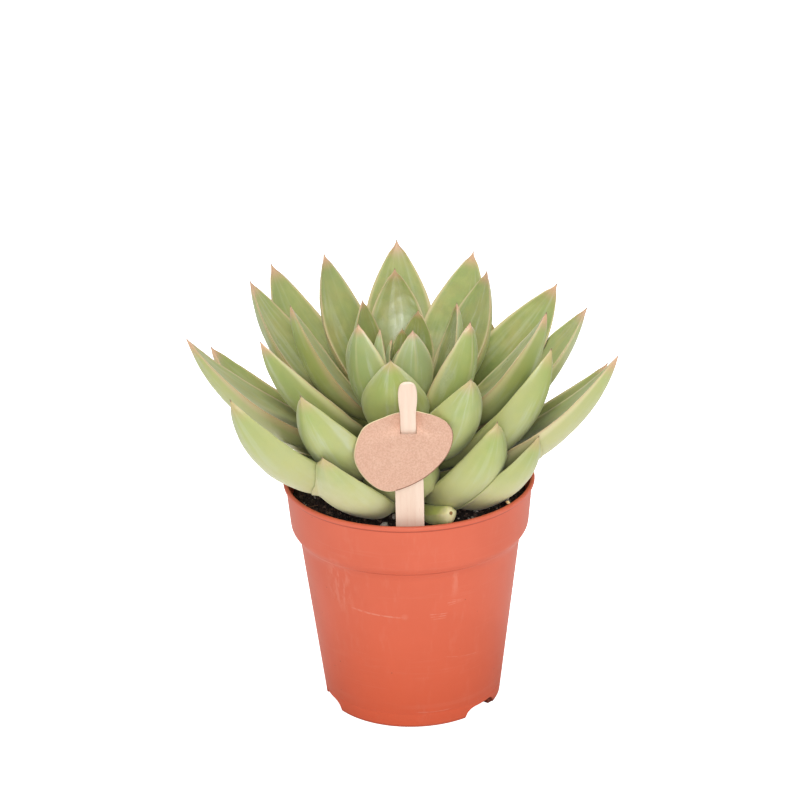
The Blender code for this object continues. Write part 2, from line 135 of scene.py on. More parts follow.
def carve(target, cutters, operation="DIFFERENCE"):
    """Cut other meshes out of a mesh, or join them to it, for good."""
    for cutter in cutters:
        step = target.modifiers.new("cut", "BOOLEAN")
        step.operation, step.solver, step.object = operation, "EXACT", cutter
    graph = bpy.context.evaluated_depsgraph_get()
    target.data = bpy.data.meshes.new_from_object(target.evaluated_get(graph))
    target.data.materials.clear()
    target.data.shade_smooth()
    target.modifiers.clear()
    for cutter in cutters:
        bpy.data.objects.remove(cutter)


def arithmetic(kind):
    """One step of arithmetic as a method of a reading, with another reading or number if it takes two."""
    return lambda reading, *other: worked(reading.tree, kind, reading, *other)


class Reading:
    """A value that nodes work out at every point, so that a rule can be written as plain arithmetic."""

    def __init__(self, tree, socket):
        self.tree, self.socket = tree, socket

    __add__ = __radd__ = arithmetic("ADD")
    __mul__ = __rmul__ = arithmetic("MULTIPLY")
    __sub__, __truediv__, __pow__ = arithmetic("SUBTRACT"), arithmetic("DIVIDE"), arithmetic("POWER")
    sine, cosine, size = arithmetic("SINE"), arithmetic("COSINE"), arithmetic("ABSOLUTE")
    at_least, at_most, above = arithmetic("MAXIMUM"), arithmetic("MINIMUM"), arithmetic("GREATER_THAN")

    def __rsub__(self, other):
        return worked(self.tree, "SUBTRACT", other, self)

    def rise(self, low, high):
        """A smooth step: 0 below low, 1 above high."""
        given = {"Value": self, "From Min": low, "From Max": high}
        return read(self.tree, "ShaderNodeMapRange", given, interpolation_type="SMOOTHSTEP")

    def band(self, low, full, falling, high):
        """1 in the middle of a range, 0 outside it, with a smooth step at either side."""
        return self.rise(low, full) * (1.0 - self.rise(falling, high))

    def between(self, first, second):
        """From the first value at 0 to the second at 1."""
        return first + (second - first) * self


def feed(tree, node, values):
    """Set a node's inputs by name, from plain values or from other nodes."""
    for name, value in values.items():
        if isinstance(value, Reading):
            tree.links.new(value.socket, node.inputs[name])
        else:
            node.inputs[name].default_value = value


def read(tree, kind, values, output=0, **settings):
    """Add a node with its settings and its inputs, and read one of its outputs."""
    node = tree.nodes.new(kind)
    for label, value in settings.items():
        setattr(node, label, value)
    feed(tree, node, values)
    return Reading(tree, node.outputs[output])


def worked(tree, kind, *parts):
    """One step of arithmetic as a Math node."""
    return read(tree, "ShaderNodeMath", dict(enumerate(parts)), operation=kind)


def light(*screen):
    """A colour given as it looks on a screen, its red, green and blue from 0 to 255, as linear light."""
    shares = [part / 255 for part in screen]
    return (*[s / 12.92 if s < 0.04045 else ((s + 0.055) / 1.055) ** 2.4 for s in shares], 1.0)


def dyed(share, first, second):
    """A colour between two others by a reading from 0 to 1."""
    return read(share.tree, "ShaderNodeMix", {0: share, 6: first, 7: second}, 2, data_type="RGBA")


def tinted(tone, *tints):
    """Lay tints over a colour one by one, each given as its share and its colour on a screen."""
    for share, *screen in tints:
        tone = dyed(share, tone, light(*screen))
    return tone


def finish_of(name, **constants):
    """A new material: its tree, and its Principled shader with constants on its own sockets."""
    made = bpy.data.materials.new(name)
    made.use_nodes = True
    shader = made.node_tree.nodes["Principled BSDF"]
    feed(made.node_tree, shader, {label.replace("_", " "): value for label, value in constants.items()})
    return made, made.node_tree, shader


def place_of(tree, scale=(1.0, 1.0, 1.0), middle=(0.0, 0.0, 0.0)):
    """Object coordinates from a middle, stretched by a scale along each axis."""
    given = {"Vector": read(tree, "ShaderNodeTexCoord", {}, "Object"), "Scale": scale}
    return read(tree, "ShaderNodeMapping", {**given, "Location": [-a * b for a, b in zip(scale, middle)]})


def parts_of(tree, place):
    """The three parts of a vector."""
    node = tree.nodes.new("ShaderNodeSeparateXYZ")
    feed(tree, node, {0: place})
    return [Reading(tree, socket) for socket in node.outputs]


def vector(tree, x, y, z):
    """Three readings or numbers as one vector."""
    return read(tree, "ShaderNodeCombineXYZ", {"X": x, "Y": y, "Z": z})


def relief(tree, shader, height, distance):
    """Fine relief from a height reading, as a Bump node that feeds the shader's Normal."""
    given = {"Height": height, "Distance": distance, "Strength": 1.0}
    feed(tree, shader, {"Normal": read(tree, "ShaderNodeBump", given, "Normal")})


def effect(name, inputs):
    """A new shader node group that works out a share: its tree, its inputs, and a function that ends it."""
    tree = bpy.data.node_groups.new(name, "ShaderNodeTree")
    tree.interface.new_socket("Vector", in_out="INPUT", socket_type="NodeSocketVector")
    for label, value in inputs.items():
        tree.interface.new_socket(label, in_out="INPUT", socket_type="NodeSocketFloat").default_value = value
    tree.interface.new_socket("Share", in_out="OUTPUT", socket_type="NodeSocketFloat")
    given, result = tree.nodes.new("NodeGroupInput"), tree.nodes.new("NodeGroupOutput")
    readings = [Reading(tree, socket) for socket in given.outputs[:-1]]
    return tree, readings, lambda reading: tree.links.new(reading.socket, result.inputs[0])


def used(group, tree, place, **values):
    """Place an effect in a material with its own values."""
    given = {label.replace("_", " "): value for label, value in values.items()}
    return read(tree, "ShaderNodeGroup", {"Vector": place, **given}, node_tree=group)


def cloudy(tree, place, scale, detail=3.0, roughness=0.55):
    """A plain noise as a reading."""
    given = {"Vector": place, "Scale": scale, "Detail": detail, "Roughness": roughness}
    return read(tree, "ShaderNodeTexNoise", given)


# Soft patches of one tone in another, on every finish
MOTTLING, (spot_place, spot_scale, spot_low, spot_high), end_group = effect(
    "Mottling", {"Scale": 50.0, "Low": 0.4, "High": 0.6})
end_group(cloudy(MOTTLING, spot_place, spot_scale).rise(spot_low, spot_high))

# Broken scratches and fibres: thin lines along the axis that the vector is squeezed on, gathered in patches
STREAKS, (line_place, line_scale, line_low, line_high, patch_scale), end_group = effect(
    "Streaks", {"Scale": 1.0, "Low": 0.55, "High": 0.75, "Patch scale": 0.2})
lines = cloudy(STREAKS, line_place, line_scale, detail=4.0, roughness=0.6).rise(line_low, line_high)
patches = cloudy(STREAKS, line_place, line_scale * patch_scale, detail=1.0).rise(0.42, 0.68)
end_group(lines * patches)

# Small round specks, such as dust on plastic and pores in wood and skin
SPECKS, (speck_place, speck_scale, speck_size, speck_kept), end_group = effect(
    "Specks", {"Scale": 500.0, "Size": 0.2, "Kept": 0.3})
cells = SPECKS.nodes.new("ShaderNodeTexVoronoi")
feed(SPECKS, cells, {"Vector": speck_place, "Scale": speck_scale, "Randomness": 1.0})
lots = SPECKS.nodes.new("ShaderNodeSeparateColor")
SPECKS.links.new(cells.outputs["Color"], lots.inputs[0])
near = 1.0 - Reading(SPECKS, cells.outputs["Distance"]).rise(speck_size * 0.5, speck_size)
end_group(near * (1.0 - Reading(SPECKS, lots.outputs[0]).above(speck_kept)))

# One scratch: a bowed line on a flat sheet, from one point to another, fading out at its ends
SCRATCH, (sheet, x_from, y_from, x_to, y_to, bow, wide), end_group = effect(
    "Scratch", {"From X": 0.0, "From Y": 0.0, "To X": 1.0, "To Y": 0.0, "Bow": 0.0, "Wide": 1.0})
sheet_x, sheet_y, _ = parts_of(SCRATCH, sheet)
way = (sheet_x - x_from) / (x_to - x_from)
line_y = way.between(y_from, y_to) - way * (1.0 - way) * bow * 4.0
near = 1.0 - ((sheet_y - line_y).size() / wide).rise(0.2, 1.0)
end_group(near * way.band(0.0, 0.15, 0.85, 1.0))


def mottled(tree, scale, low, high, stretch=(1.0, 1.0, 1.0)):
    """Soft patches all over a finish."""
    return used(MOTTLING, tree, place_of(tree, stretch), Scale=scale, Low=low, High=high)


def streaked(tree, stretch, scale, low, high, patch_scale=0.2):
    """Broken streaks over a finish, along the axis that is stretched least."""
    place = place_of(tree, stretch)
    return used(STREAKS, tree, place, Scale=scale, Low=low, High=high, Patch_scale=patch_scale)


def specked(tree, scale, size, kept):
    """Round specks over a finish."""
    return used(SPECKS, tree, place_of(tree), Scale=scale, Size=size, Kept=kept)


def pot_profile():
    """The pot's profile in mm, from the floor's underside round the foot and the lip to the floor's top."""
    under = [(0.0, FLOOR_LOW, 0.0), (35.4, FLOOR_LOW, 0.7), (35.4, 0.0, 0.3), (FOOT_R, 0.0, 0.6)]
    ring = [(body_r(5.7), 5.7, 0.0), (body_r(6.3) - 0.12, 6.3, 0.3), (body_r(6.9), 6.9, 0.0)]
    body = [(body_r(z), z, 0.0) for z in (20.0, 35.0, 50.0, 65.0)] + [(BODY_TOP_R, BODY_TOP_Z, 1.2)]
    step = [(47.0, 74.5, 0.6), (47.5, 75.3, 0.0), (47.45, 75.55, 0.1), (47.95, 75.75, 0.15),
            (48.5, 76.5, 0.6), (49.5, 78.1, 1.0), (49.85, 79.7, 1.2)]
    lip = [(51.4, 96.4, 0.3), (52.2, 96.7, 0.4), (52.55, 97.7, 0.7),
           (52.3, POT_TOP, 0.7), (50.9, POT_TOP, 0.6), (50.3, 97.0, 0.8)]
    inside = [(48.7, 79.5, 1.5), (47.3, 76.9, 1.2), (BODY_TOP_R - WALL, BODY_TOP_Z, 1.5)]
    floor = [(body_r(FLOOR_TOP) - WALL, FLOOR_TOP, 0.9), (0.0, FLOOR_TOP, 0.0)]
    return eased(under + ring + body + step + lip + inside + floor)


def at_pot(name, shape, angle):
    """Turn a shape round the pot's axis by an angle in degrees, and put it there."""
    bmesh.ops.rotate(shape, verts=shape.verts, matrix=Matrix.Rotation(math.radians(angle), 3, "Z"))
    return keep(name, shape, POT_FOOT)


def notch(angle):
    """The cutter of one low arch with rounded corners, laid radially through the skirt."""
    arch = [(-0.6, -1.0, 0.0), (0.0, 0.6, 0.8), (0.9, 2.8, 1.2), (3.4, NOTCH_TOP, 1.6)]
    arch = [(x - NOTCH_HALF, z, reach) for x, z, reach in arch]
    outline = eased(arch + [(-x, z, reach) for x, z, reach in reversed(arch)])
    rings = [[Vector((r, x, z)) * MM for x, z in outline] for r in (FOOT_R - 8.0, FOOT_R + 6.0)]
    return at_pot("notch", loft(rings), angle)


def drain(number):
    """The cutter of one round hole in the floor."""
    angle = math.radians(DRAIN_FIRST + 360.0 * number / DRAIN_COUNT)
    shape = turned([(0.0, 3.0), (DRAIN_R, 3.0), (DRAIN_R, 7.0), (0.0, 7.0)], 32)
    middle = Vector((math.cos(angle), math.sin(angle), 0.0)) * DRAIN_CIRCLE * MM
    return keep("drain", shape, POT_FOOT + middle)


def lug(angle):
    """A low lug inside the skirt at one side of a notch."""
    shape = bmesh.new()
    bmesh.ops.create_cube(shape, size=1.0)
    bmesh.ops.scale(shape, verts=shape.verts, vec=LUG_SIZE * MM)
    bmesh.ops.translate(shape, verts=shape.verts, vec=LUG_MIDDLE * MM)
    return at_pot("lug", shape, angle)


pot = keep("moulded_pot", turned(pot_profile(), POT_SIDES), POT_FOOT)
carve(pot, [notch(angle) for angle in NOTCH_ANGLES] + [drain(number) for number in range(DRAIN_COUNT)])
carve(pot, [lug(NOTCH_ANGLES[0])], "UNION")
pot.data.set_sharp_from_angle(angle=math.radians(35.0))


def patch(tree, x, y, z, wide, tall):
    """A soft patch on the pot's skin round a point in mm about its axis, which fades out over its size."""
    place = place_of(tree, (1000 / wide, 1000 / wide, 1000 / tall), POT_FOOT + Vector((x, y, z)) * MM)
    return 1.0 - read(tree, "ShaderNodeVectorMath", {0: place}, "Value", operation="LENGTH").rise(0.3, 1.0)


plastic, tree, shader = finish_of("terracotta plastic", IOR=1.42)
east, north, level = parts_of(tree, place_of(tree))
# The pot's skin unrolled flat, in mm, with the front in the middle
skin_turn = worked(tree, "ARCTAN2", east - POT_X, (north - POT_Y) * -1.0)
unrolled = vector(tree, skin_turn * SKIN_R, level * 1000.0, 0.0)
clouds = mottled(tree, 26.0, 0.35, 0.65)
smears = streaked(tree, (60, 60, 14), 9.0, 0.46, 0.7, 0.3)
rubs = streaked(tree, (12, 12, 190), 5.0, 0.5, 0.7)
dust = specked(tree, 420.0, 0.16, 0.05)
pale_smear = cloudy(tree, place_of(tree, (1, 1, 0.35)), 380.0).rise(0.42, 0.62)
left_smear = patch(tree, -29.5, -35.0, 67.0, 10.0, 20.0) * pale_smear
chafed = patch(tree, 17.0, -41.5, 70.0, 4.0, 10.0) * pale_smear
chafed = chafed + patch(tree, -3.0, -43.7, 54.6, 2.0, 2.0) * 0.6
scratches = 0.0
# Scratches on the unrolled skin in mm: both ends, bow and width, and how strong each is
for x, y, x_end, y_end, bow, wide, depth in (
        (-28.0, 56.3, -2.0, 54.2, 0.4, 0.55, 0.8), (-24.0, 55.2, -6.0, 54.6, 0.2, 0.4, 0.4),
        (7.0, 55.3, 15.8, 55.0, 0.1, 0.4, 0.8), (7.3, 54.0, 15.6, 53.9, 0.0, 0.4, 0.7),
        (7.6, 52.7, 15.0, 52.8, -0.1, 0.35, 0.5), (14.8, 61.2, 22.8, 60.2, 0.1, 0.4, 0.5),
        (14.6, 59.8, 22.8, 59.9, 0.0, 0.45, 0.8), (15.0, 58.5, 22.6, 59.4, -0.1, 0.35, 0.5),
        (14.0, 34.0, 34.0, 31.5, 0.6, 0.4, 0.35), (-2.0, 7.9, 20.0, 7.4, 0.5, 0.4, 0.5)):
    mark = used(SCRATCH, tree, unrolled, From_X=x, From_Y=y, To_X=x_end, To_Y=y_end, Bow=bow, Wide=wide)
    scratches = mark * depth + scratches
scratches = scratches * cloudy(tree, place_of(tree), 420.0).rise(0.3, 0.6)
low_ring = level.band(0.0085, 0.0095, 0.0105, 0.0115)
wear = (smears + rubs + low_ring * clouds) * 0.1 + left_smear * 0.4 + chafed * 0.35 + scratches * 0.7
# Painted shade: a thin dark line in the crease under the lip's bead
lip_shade_line = level.band(0.0958, 0.0963, 0.0968, 0.0972)
# Painted shade and highlight on the step: a dark line in its crease at the front, and a pale painted
# highlight on it towards the sides
step_crease_shade_and_highlight = level.band(0.0749, 0.0753, 0.0756, 0.076)
# Painted shade: darker along the bottom edge of the foot, where it turns under
foot_shade_line = 1.0 - level.rise(0.0003, 0.0014)
front = 1.0 - skin_turn.size().rise(0.3, 0.9)
# Painted shade: a dark patch by the lug at the end of the right notch, where the inside of the skirt lies in
# shadow
notch_shade = patch(tree, 31.0, -14.9, 0.9, 4.4, 3.4)
tone = tinted(
    light(219, 96, 61), (level.rise(0.0, 0.09), 221, 106, 77), (clouds * 0.3, 206, 92, 62),
    ((wear * 0.5).at_most(0.8), 236, 170, 148), (dust * 0.4, 120, 60, 46),
    (lip_shade_line * 0.7 + step_crease_shade_and_highlight * 0.35 * front, 160, 66, 44),
    (step_crease_shade_and_highlight * (1.0 - front) * clouds * 0.5, 240, 168, 146),
    (foot_shade_line * 0.5, 150, 74, 52), (notch_shade * 0.85, 74, 34, 24))
feed(tree, shader, {"Base Color": tone, "Roughness": 0.46 + clouds * 0.05 + wear * 0.2})
relief(tree, shader, cloudy(tree, place_of(tree), 900.0) * 0.5 + scratches, 0.00004)
pot.data.materials.append(plastic)
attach(pot, "root")
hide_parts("pot")


# Potting soil
# Dark peat pressed in to about 9 mm below the lip, with loose crumbs, pale perlite and brown fibres on top.
# It fills the pot, holds the plant's stem and the foot of the label's stick, and isn't fixed to anything.
PLANT_X = POT_X - 2.0 * MM
SOIL_TOP, SOIL_LUMP, OPEN_SOIL_R, LOOSE_LIFT = 89.0, 1.1, 47.2, 0.1
STEM_PROFILE = ((0.0, 62.0), (3.0, 62.0), (5.0, 66.0), (10.0, 88.0), (10.0, 98.0))
STICK_LEAN = math.radians(7.0)
STICK_LOW_Z, STICK_RIM_Y = 50.0, -46.5
STICK_FOOT_Y = STICK_RIM_Y + (POT_TOP - STICK_LOW_Z) * math.tan(STICK_LEAN)
STICK_FOOT = Vector((POT_X, POT_Y + STICK_FOOT_Y * MM, STICK_LOW_Z * MM))
STICK_HALF_WIDE, STICK_HALF_THICK, STICK_POINT, HOLE_GAP = 5.75, 0.9, 2.2, 0.3


def soil_height(x, y):
    """The lumpy top of the peat, in mm about the pot's axis."""
    waves = math.sin(0.31 * x + 1.0) * math.cos(0.27 * y) + 0.6 * math.sin(0.63 * y + 0.41 * x + 2.0)
    return SOIL_TOP + SOIL_LUMP * waves / 1.6


def soil_rings(top_r, shares, sides, rough):
    """Rings of points on the top of the peat, with crumbly relief."""
    rings = []
    for share in shares:
        ring = []
        for i in range(sides):
            angle = 2 * math.pi * i / sides
            x, y = top_r * share * math.cos(angle), top_r * share * math.sin(angle)
            crumb = noise.noise(Vector((x, y, 0.0)) * 0.9) + 0.6 * noise.noise(Vector((x, y, 7.0)) * 2.1)
            ring.append(Vector((x, y, soil_height(x, y) + rough * crumb)) * MM)
        rings.append(ring)
    return rings


def on_stick(name, shape, sharp=40.0):
    """Lean a shape that is drawn on the upright stick, and stand it at the stick's foot."""
    bmesh.ops.rotate(shape, verts=shape.verts, matrix=Matrix.Rotation(STICK_LEAN, 3, "X"))
    return keep(name, shape, STICK_FOOT, sharp)


sides = 144
rings = circles([(36.2, 6.0), (44.7, 72.5), (47.0, 76.9), (48.4, 79.8)], sides)
rings += soil_rings(49.1, [1.0 - 0.03 * k for k in range(33)], sides, 0.55)
shape = loft(rings, low_tip=(0, 0, 6.0 * MM), high_tip=(0, 0, SOIL_TOP * MM))
soil = keep("packed_peat", shape, POT_FOOT, 180.0)
hole = [(0.0, 61.4)] + [(r + HOLE_GAP, z) for r, z in STEM_PROFILE[1:]] + [(0.0, 98.0)]
stem_hole = keep("stem_hole", turned(hole, 48), (PLANT_X, POT_Y, 0.0))
rings = []
for half, z in ((STICK_POINT, -HOLE_GAP), (STICK_HALF_WIDE, 9.0), (STICK_HALF_WIDE, 60.0)):
    x, y = half + HOLE_GAP, STICK_HALF_THICK + HOLE_GAP
    rings.append([Vector(corner) * MM for corner in ((-x, -y, z), (x, -y, z), (x, y, z), (-x, y, z))])
carve(soil, [stem_hole, on_stick("stick_hole", loft(rings))])

peat, tree, shader = finish_of("damp peat")
clods = mottled(tree, 420.0, 0.35, 0.7)
grit = specked(tree, 900.0, 0.3, 0.12)
tone = tinted(light(30, 19, 15), (clods, 62, 42, 32), (grit * 0.6, 120, 104, 88))
feed(tree, shader, {"Base Color": tone, "Roughness": 0.95 - clods * 0.25})
relief(tree, shader, cloudy(tree, place_of(tree), 1400.0, 6.0), 0.0006)
soil.data.materials.append(peat)
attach(soil, "root")
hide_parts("soil")


def grower(name, inputs):
    """A new Geometry Nodes tree with named inputs: the tree, its inputs as readings, and its output."""
    tree = bpy.data.node_groups.new(name, "GeometryNodeTree")
    tree.interface.new_socket("Mesh", in_out="INPUT", socket_type="NodeSocketGeometry")
    for label, value in inputs.items():
        kind = "NodeSocketInt" if isinstance(value, int) else "NodeSocketFloat"
        tree.interface.new_socket(label, in_out="INPUT", socket_type=kind).default_value = value
    tree.interface.new_socket("Material", in_out="INPUT", socket_type="NodeSocketMaterial")
    tree.interface.new_socket("Mesh", in_out="OUTPUT", socket_type="NodeSocketGeometry")
    given, result = tree.nodes.new("NodeGroupInput"), tree.nodes.new("NodeGroupOutput")
    readings = {label: Reading(tree, given.outputs[label]) for label in (*inputs, "Mesh", "Material")}
    return tree, readings, result


def grow(tree, kind, values):
    """Add a geometry node with its inputs, and read its first output."""
    return read(tree, "GeometryNode" + kind, values)


def end_grower(tree, geometry, material, result):
    """End a tree: real geometry in place of instances, shaded smooth, with its material."""
    real = grow(tree, "RealizeInstances", {"Geometry": geometry})
    smooth = grow(tree, "SetShadeSmooth", {0: real})
    dressed = grow(tree, "SetMaterial", {"Geometry": smooth, "Material": material})
    tree.links.new(dressed.socket, result.inputs["Mesh"])


def grown(name, tree, values, source=None):
    """Run a tree with its inputs set by identifier, and keep what it makes as a plain mesh."""
    made = bpy.data.objects.new(name, source or bpy.data.meshes.new(name))
    bpy.context.scene.collection.objects.link(made)
    step = made.modifiers.new(tree.name, "NODES")
    step.node_group = tree
    for item in tree.interface.items_tree:
        if item.in_out == "INPUT" and item.name in values:
            step[item.identifier] = values[item.name]
    graph = bpy.context.evaluated_depsgraph_get()
    made.data = bpy.data.meshes.new_from_object(
        made.evaluated_get(graph), preserve_all_data_layers=True, depsgraph=graph)
    made.data.name = name
    made.modifiers.clear()
    return made


def chance(tree, kind, low, high, seed):
    """A random value for each instance."""
    first, second, found = {"FLOAT": (2, 3, 1), "FLOAT_VECTOR": (0, 1, 0)}[kind]
    given = {first: low, second: high, "Seed": seed}
    return read(tree, "FunctionNodeRandomValue", given, found, data_type=kind)


def scattered(tree, given):
    """Points strewn over a mesh by chance."""
    labels = ("Mesh", "Density", "Seed")
    return grow(tree, "DistributePointsOnFaces", {label: given[label] for label in labels})


# Loose crumbs: lumpy grains of a few dozen faces on the peat's top, each turned and sized by chance
GRAINS, given, result = grower("Loose grains", {
    "Density": 1000.0, "Smallest": 0.0005, "Largest": 0.001, "Flatness": 0.6, "Seed": 1})
points = scattered(GRAINS, given)
ball = grow(GRAINS, "MeshIcoSphere", {"Radius": 1.0, "Subdivisions": 2})
where = grow(GRAINS, "InputPosition", {})
swell = 0.62 + cloudy(GRAINS, where, 1.3, 2.0) * 0.75
lumpy = read(GRAINS, "ShaderNodeVectorMath", {0: where, "Scale": swell}, operation="SCALE")
grain_shape = grow(GRAINS, "SetPosition", {"Geometry": ball, "Position": lumpy})
spread = chance(GRAINS, "FLOAT", 0.0, 1.0, given["Seed"] + 11)
length = (spread ** 2.5).between(given["Smallest"], given["Largest"])
breadth = length * chance(GRAINS, "FLOAT", 0.6, 1.0, given["Seed"] + 12)
placed = grow(GRAINS, "InstanceOnPoints", {
    "Points": points, "Instance": grain_shape,
    "Rotation": chance(GRAINS, "FLOAT_VECTOR", (0, 0, 0), (6.28, 6.28, 6.28), given["Seed"] + 13),
    "Scale": vector(GRAINS, length, breadth, breadth * given["Flatness"])})
end_grower(GRAINS, placed, given["Material"], result)

# Fibres: short bent hairs of peat and root
FIBRES, given, result = grower("Loose fibres", {
    "Density": 1000.0, "Length": 0.006, "Thickness": 0.00012, "Seed": 1})
points = scattered(FIBRES, given)
hair = grow(FIBRES, "CurveToMesh", {
    "Curve": grow(FIBRES, "CurveArc", {"Resolution": 6, "Radius": given["Length"], "Sweep Angle": 1.1}),
    "Profile Curve": grow(FIBRES, "CurvePrimitiveCircle", {"Resolution": 4, "Radius": given["Thickness"]}),
    "Fill Caps": True})
placed = grow(FIBRES, "InstanceOnPoints", {
    "Points": points, "Instance": hair,
    "Rotation": chance(FIBRES, "FLOAT_VECTOR", (-0.35, -0.35, 0), (0.35, 0.35, 6.28), given["Seed"] + 5),
    "Scale": vector(FIBRES, *[chance(FIBRES, "FLOAT", 0.4, 1.0, given["Seed"] + 6)] * 3)})
end_grower(FIBRES, placed, given["Material"], result)


def soil_skin():
    """The open part of the peat's top, for the loose pieces to lie on."""
    shape = bmesh.new()
    strips(shape, soil_rings(OPEN_SOIL_R, (1.0, 0.8, 0.6, 0.42), 96, 0.4))
    bmesh.ops.translate(shape, verts=shape.verts, vec=(POT_X, POT_Y, LOOSE_LIFT * MM))
    mesh = bpy.data.meshes.new("soil_skin")
    shape.to_mesh(mesh)
    shape.free()
    return mesh


def two_toned(name, roughness, mottling, first, second, bumps=None):
    """A finish mottled in two colours. Its bumps, if any, are given by scale, detail and depth."""
    made, tree, shader = finish_of(name, Roughness=roughness)
    feed(tree, shader, {"Base Color": tinted(light(*first), (mottled(tree, *mottling), *second))})
    if bumps:
        relief(tree, shader, cloudy(tree, place_of(tree), *bumps[:2]), bumps[2])
    return made


crumb_finish = two_toned(
    "peat crumb", 0.85, (520.0, 0.4, 0.65), (42, 30, 26), (104, 84, 72), (2500.0, 4.0, 0.0003))
perlite_finish = two_toned(
    "perlite", 0.8, (700.0, 0.4, 0.7), (206, 200, 188), (143, 131, 118), (3000.0, 4.0, 0.0002))
fibre_finish = two_toned("peat fibre", 0.8, (160.0, 0.3, 0.7), (74, 46, 30), (150, 112, 78))
scale_finish = two_toned("dry scale", 0.7, (900.0, 0.4, 0.7), (232, 212, 160), (196, 160, 104))
loose = [
    grown("peat_crumbs", GRAINS, {
        "Density": 270000.0, "Smallest": 0.0004, "Largest": 0.0013, "Flatness": 0.75, "Seed": 4,
        "Material": crumb_finish}, soil_skin()),
    grown("perlite_bits", GRAINS, {
        "Density": 30000.0, "Smallest": 0.0004, "Largest": 0.002, "Flatness": 0.8, "Seed": 9,
        "Material": perlite_finish}, soil_skin()),
    grown("peat_fibres", FIBRES, {
        "Density": 26000.0, "Length": 0.0042, "Thickness": 0.00011, "Seed": 6,
        "Material": fibre_finish}, soil_skin()),
]
# One pale scale of dry skin that has come to rest on the lip
shape = bmesh.new()
bmesh.ops.create_icosphere(shape, subdivisions=3, radius=MM)
for vert in shape.verts:
    vert.co *= 0.75 + 0.5 * noise.noise(vert.co * 900.0)
bmesh.ops.scale(shape, verts=shape.verts, vec=(1.1, 0.7, 0.9))
loose.append(keep("dry_scale", shape, (POT_X + 40.0 * MM, POT_Y - 30.9 * MM, 99.4 * MM), 180.0))
loose[-1].data.materials.append(scale_finish)
for piece in loose:
    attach(piece, "root")


# Stem
# The short green stem that all the leaves grow from. It stands in the soil and can be seen only between the
# lowest leaves. Its skin is ringed with the scars of leaves that have dropped.
CROWN_R, CROWN_LOW, CROWN_TOP = 10.0, 98.0, 129.0


def crown_radius(z):
    """The crown narrows like the upper half of an egg, in mm."""
    part = (z - CROWN_LOW) / (CROWN_TOP - CROWN_LOW)
    return CROWN_R * math.sqrt(max(0.0, 1.0 - part * part))


scars = [(CROWN_R - 0.25 * abs(math.sin(1.3 * z)), z) for z in (89.0 + 0.5 * k for k in range(18))]
levels = (98.0, 102.0, 106.0, 110.0, 113.0, 116.0, 119.0, 122.0, 124.0, 126.0, 127.5)
crown = [(crown_radius(z), z) for z in levels]
profile = list(STEM_PROFILE[:4]) + scars + crown + [(0.0, 128.5)]
stem = keep("crown_stem", turned(profile, 64), (PLANT_X, POT_Y, 0.0), 60.0)
bark, tree, shader = finish_of("stem skin", Roughness=0.6)
patches = mottled(tree, 160.0, 0.35, 0.7)
rings = streaked(tree, (60, 60, 900), 1.0, 0.5, 0.7)
tone = tinted(light(128, 132, 84), (patches, 104, 92, 60), (rings * 0.6, 70, 56, 40))
feed(tree, shader, {"Base Color": tone})
relief(tree, shader, rings, 0.0002)
stem.data.materials.append(bark)
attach(stem, "root")
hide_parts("stem")


# Leaves
# Forty-two thick, pointed leaves in a golden-angle spiral, each grown from the stem by its foot: waxy skin
# over watery flesh, boat-shaped below with a keel near the tip, and a dry point. Neighbours press dents.
LEAF_ROUND, LEAF_ALONG, SEAM_GAP = 56, 66, 1e-7
GOLDEN_ANGLE, FIRST_AZIMUTH = 137.5, 200.0
# Own departures from the rule by number: turn and rise in degrees, longer in mm, bend in degrees, wider in mm
LEAF_OWN = {
    0: (0, 0, 2, 0, 0), 1: (0, -5, 0, 0, 0), 2: (2, -1, -1, 0, 0), 3: (0, 3, -1, 0, 0), 4: (0, 1, -3, 0, 0),
    5: (0, 1, -3, 0, 0), 6: (-2, 0, 0, 0, 0), 7: (0, -1, -2, 0, 0), 8: (6, -3, 0, -12, 1),
    9: (-1, -3, 0.5, 3, 0.5), 10: (0, -3, -9, 0, 0), 11: (0, 3, 4, -6, -2), 12: (0, -4, 1, -4, 0),
    13: (-4, -5, 1, -5, 0), 14: (-12, -4.5, 7, -6, -1), 15: (0, -1, -8, -12, -3), 16: (5, 5, 5, -9, 0),
    17: (6, -4, 5, -5, 0.5), 18: (-8, -2.5, 0, -4, -3), 19: (-17, 3, 9, 0, 0), 20: (3, 6.5, 0, -4, 0),
    21: (0, -3, 15, 0, 0), 22: (0, -6, -16, 0, 0), 23: (-3, -3, -48, -10, -6), 24: (-5, 7.5, 8, -3, 0),
    25: (7, 4.5, 3.5, -12, 0), 26: (-4, -1, 11, 9, 1), 27: (0, -3, -4, 0, 0), 28: (0, 8, -15, 15, -1),
    29: (0, 1.5, -2, 0, 0), 30: (4, -6, -12, 0, 0), 31: (10, 15.5, -35, 30, 1), 32: (0, -5, -8, 0, 0),
    33: (0, 5.5, 21.5, -8, 0), 34: (-4, -10, -28, 0, -3), 35: (0, -7, -8, 0, 0), 36: (5.5, 0, 0, 0, 0),
    37: (-2, -9, -18, 0, -2), 38: (-8, 0, 21, 0, 0), 39: (4, 6.5, 10, -10, 0), 40: (0, -8, -8, 0, -2),
    41: (6, 3, 5, 8, 2),
}
# Lower on the stem and thicker than the rule, in mm, and rolled by the neighbours' push, in degrees
LEAF_FULLER = {
    8: (0, 1), 9: (0, 1.5), 12: (0, 3), 15: (4, 2), 18: (6, 2.5), 20: (7, 3), 26: (3.5, 2), 28: (13, 0.5),
    31: (4.5, 0), 33: (2.5, 0), 39: (10.5, -2.5), 41: (2.4, -0.4),
}
LEAF_ROLL = {9: -8, 11: 12, 13: 8, 17: 14, 24: 6}
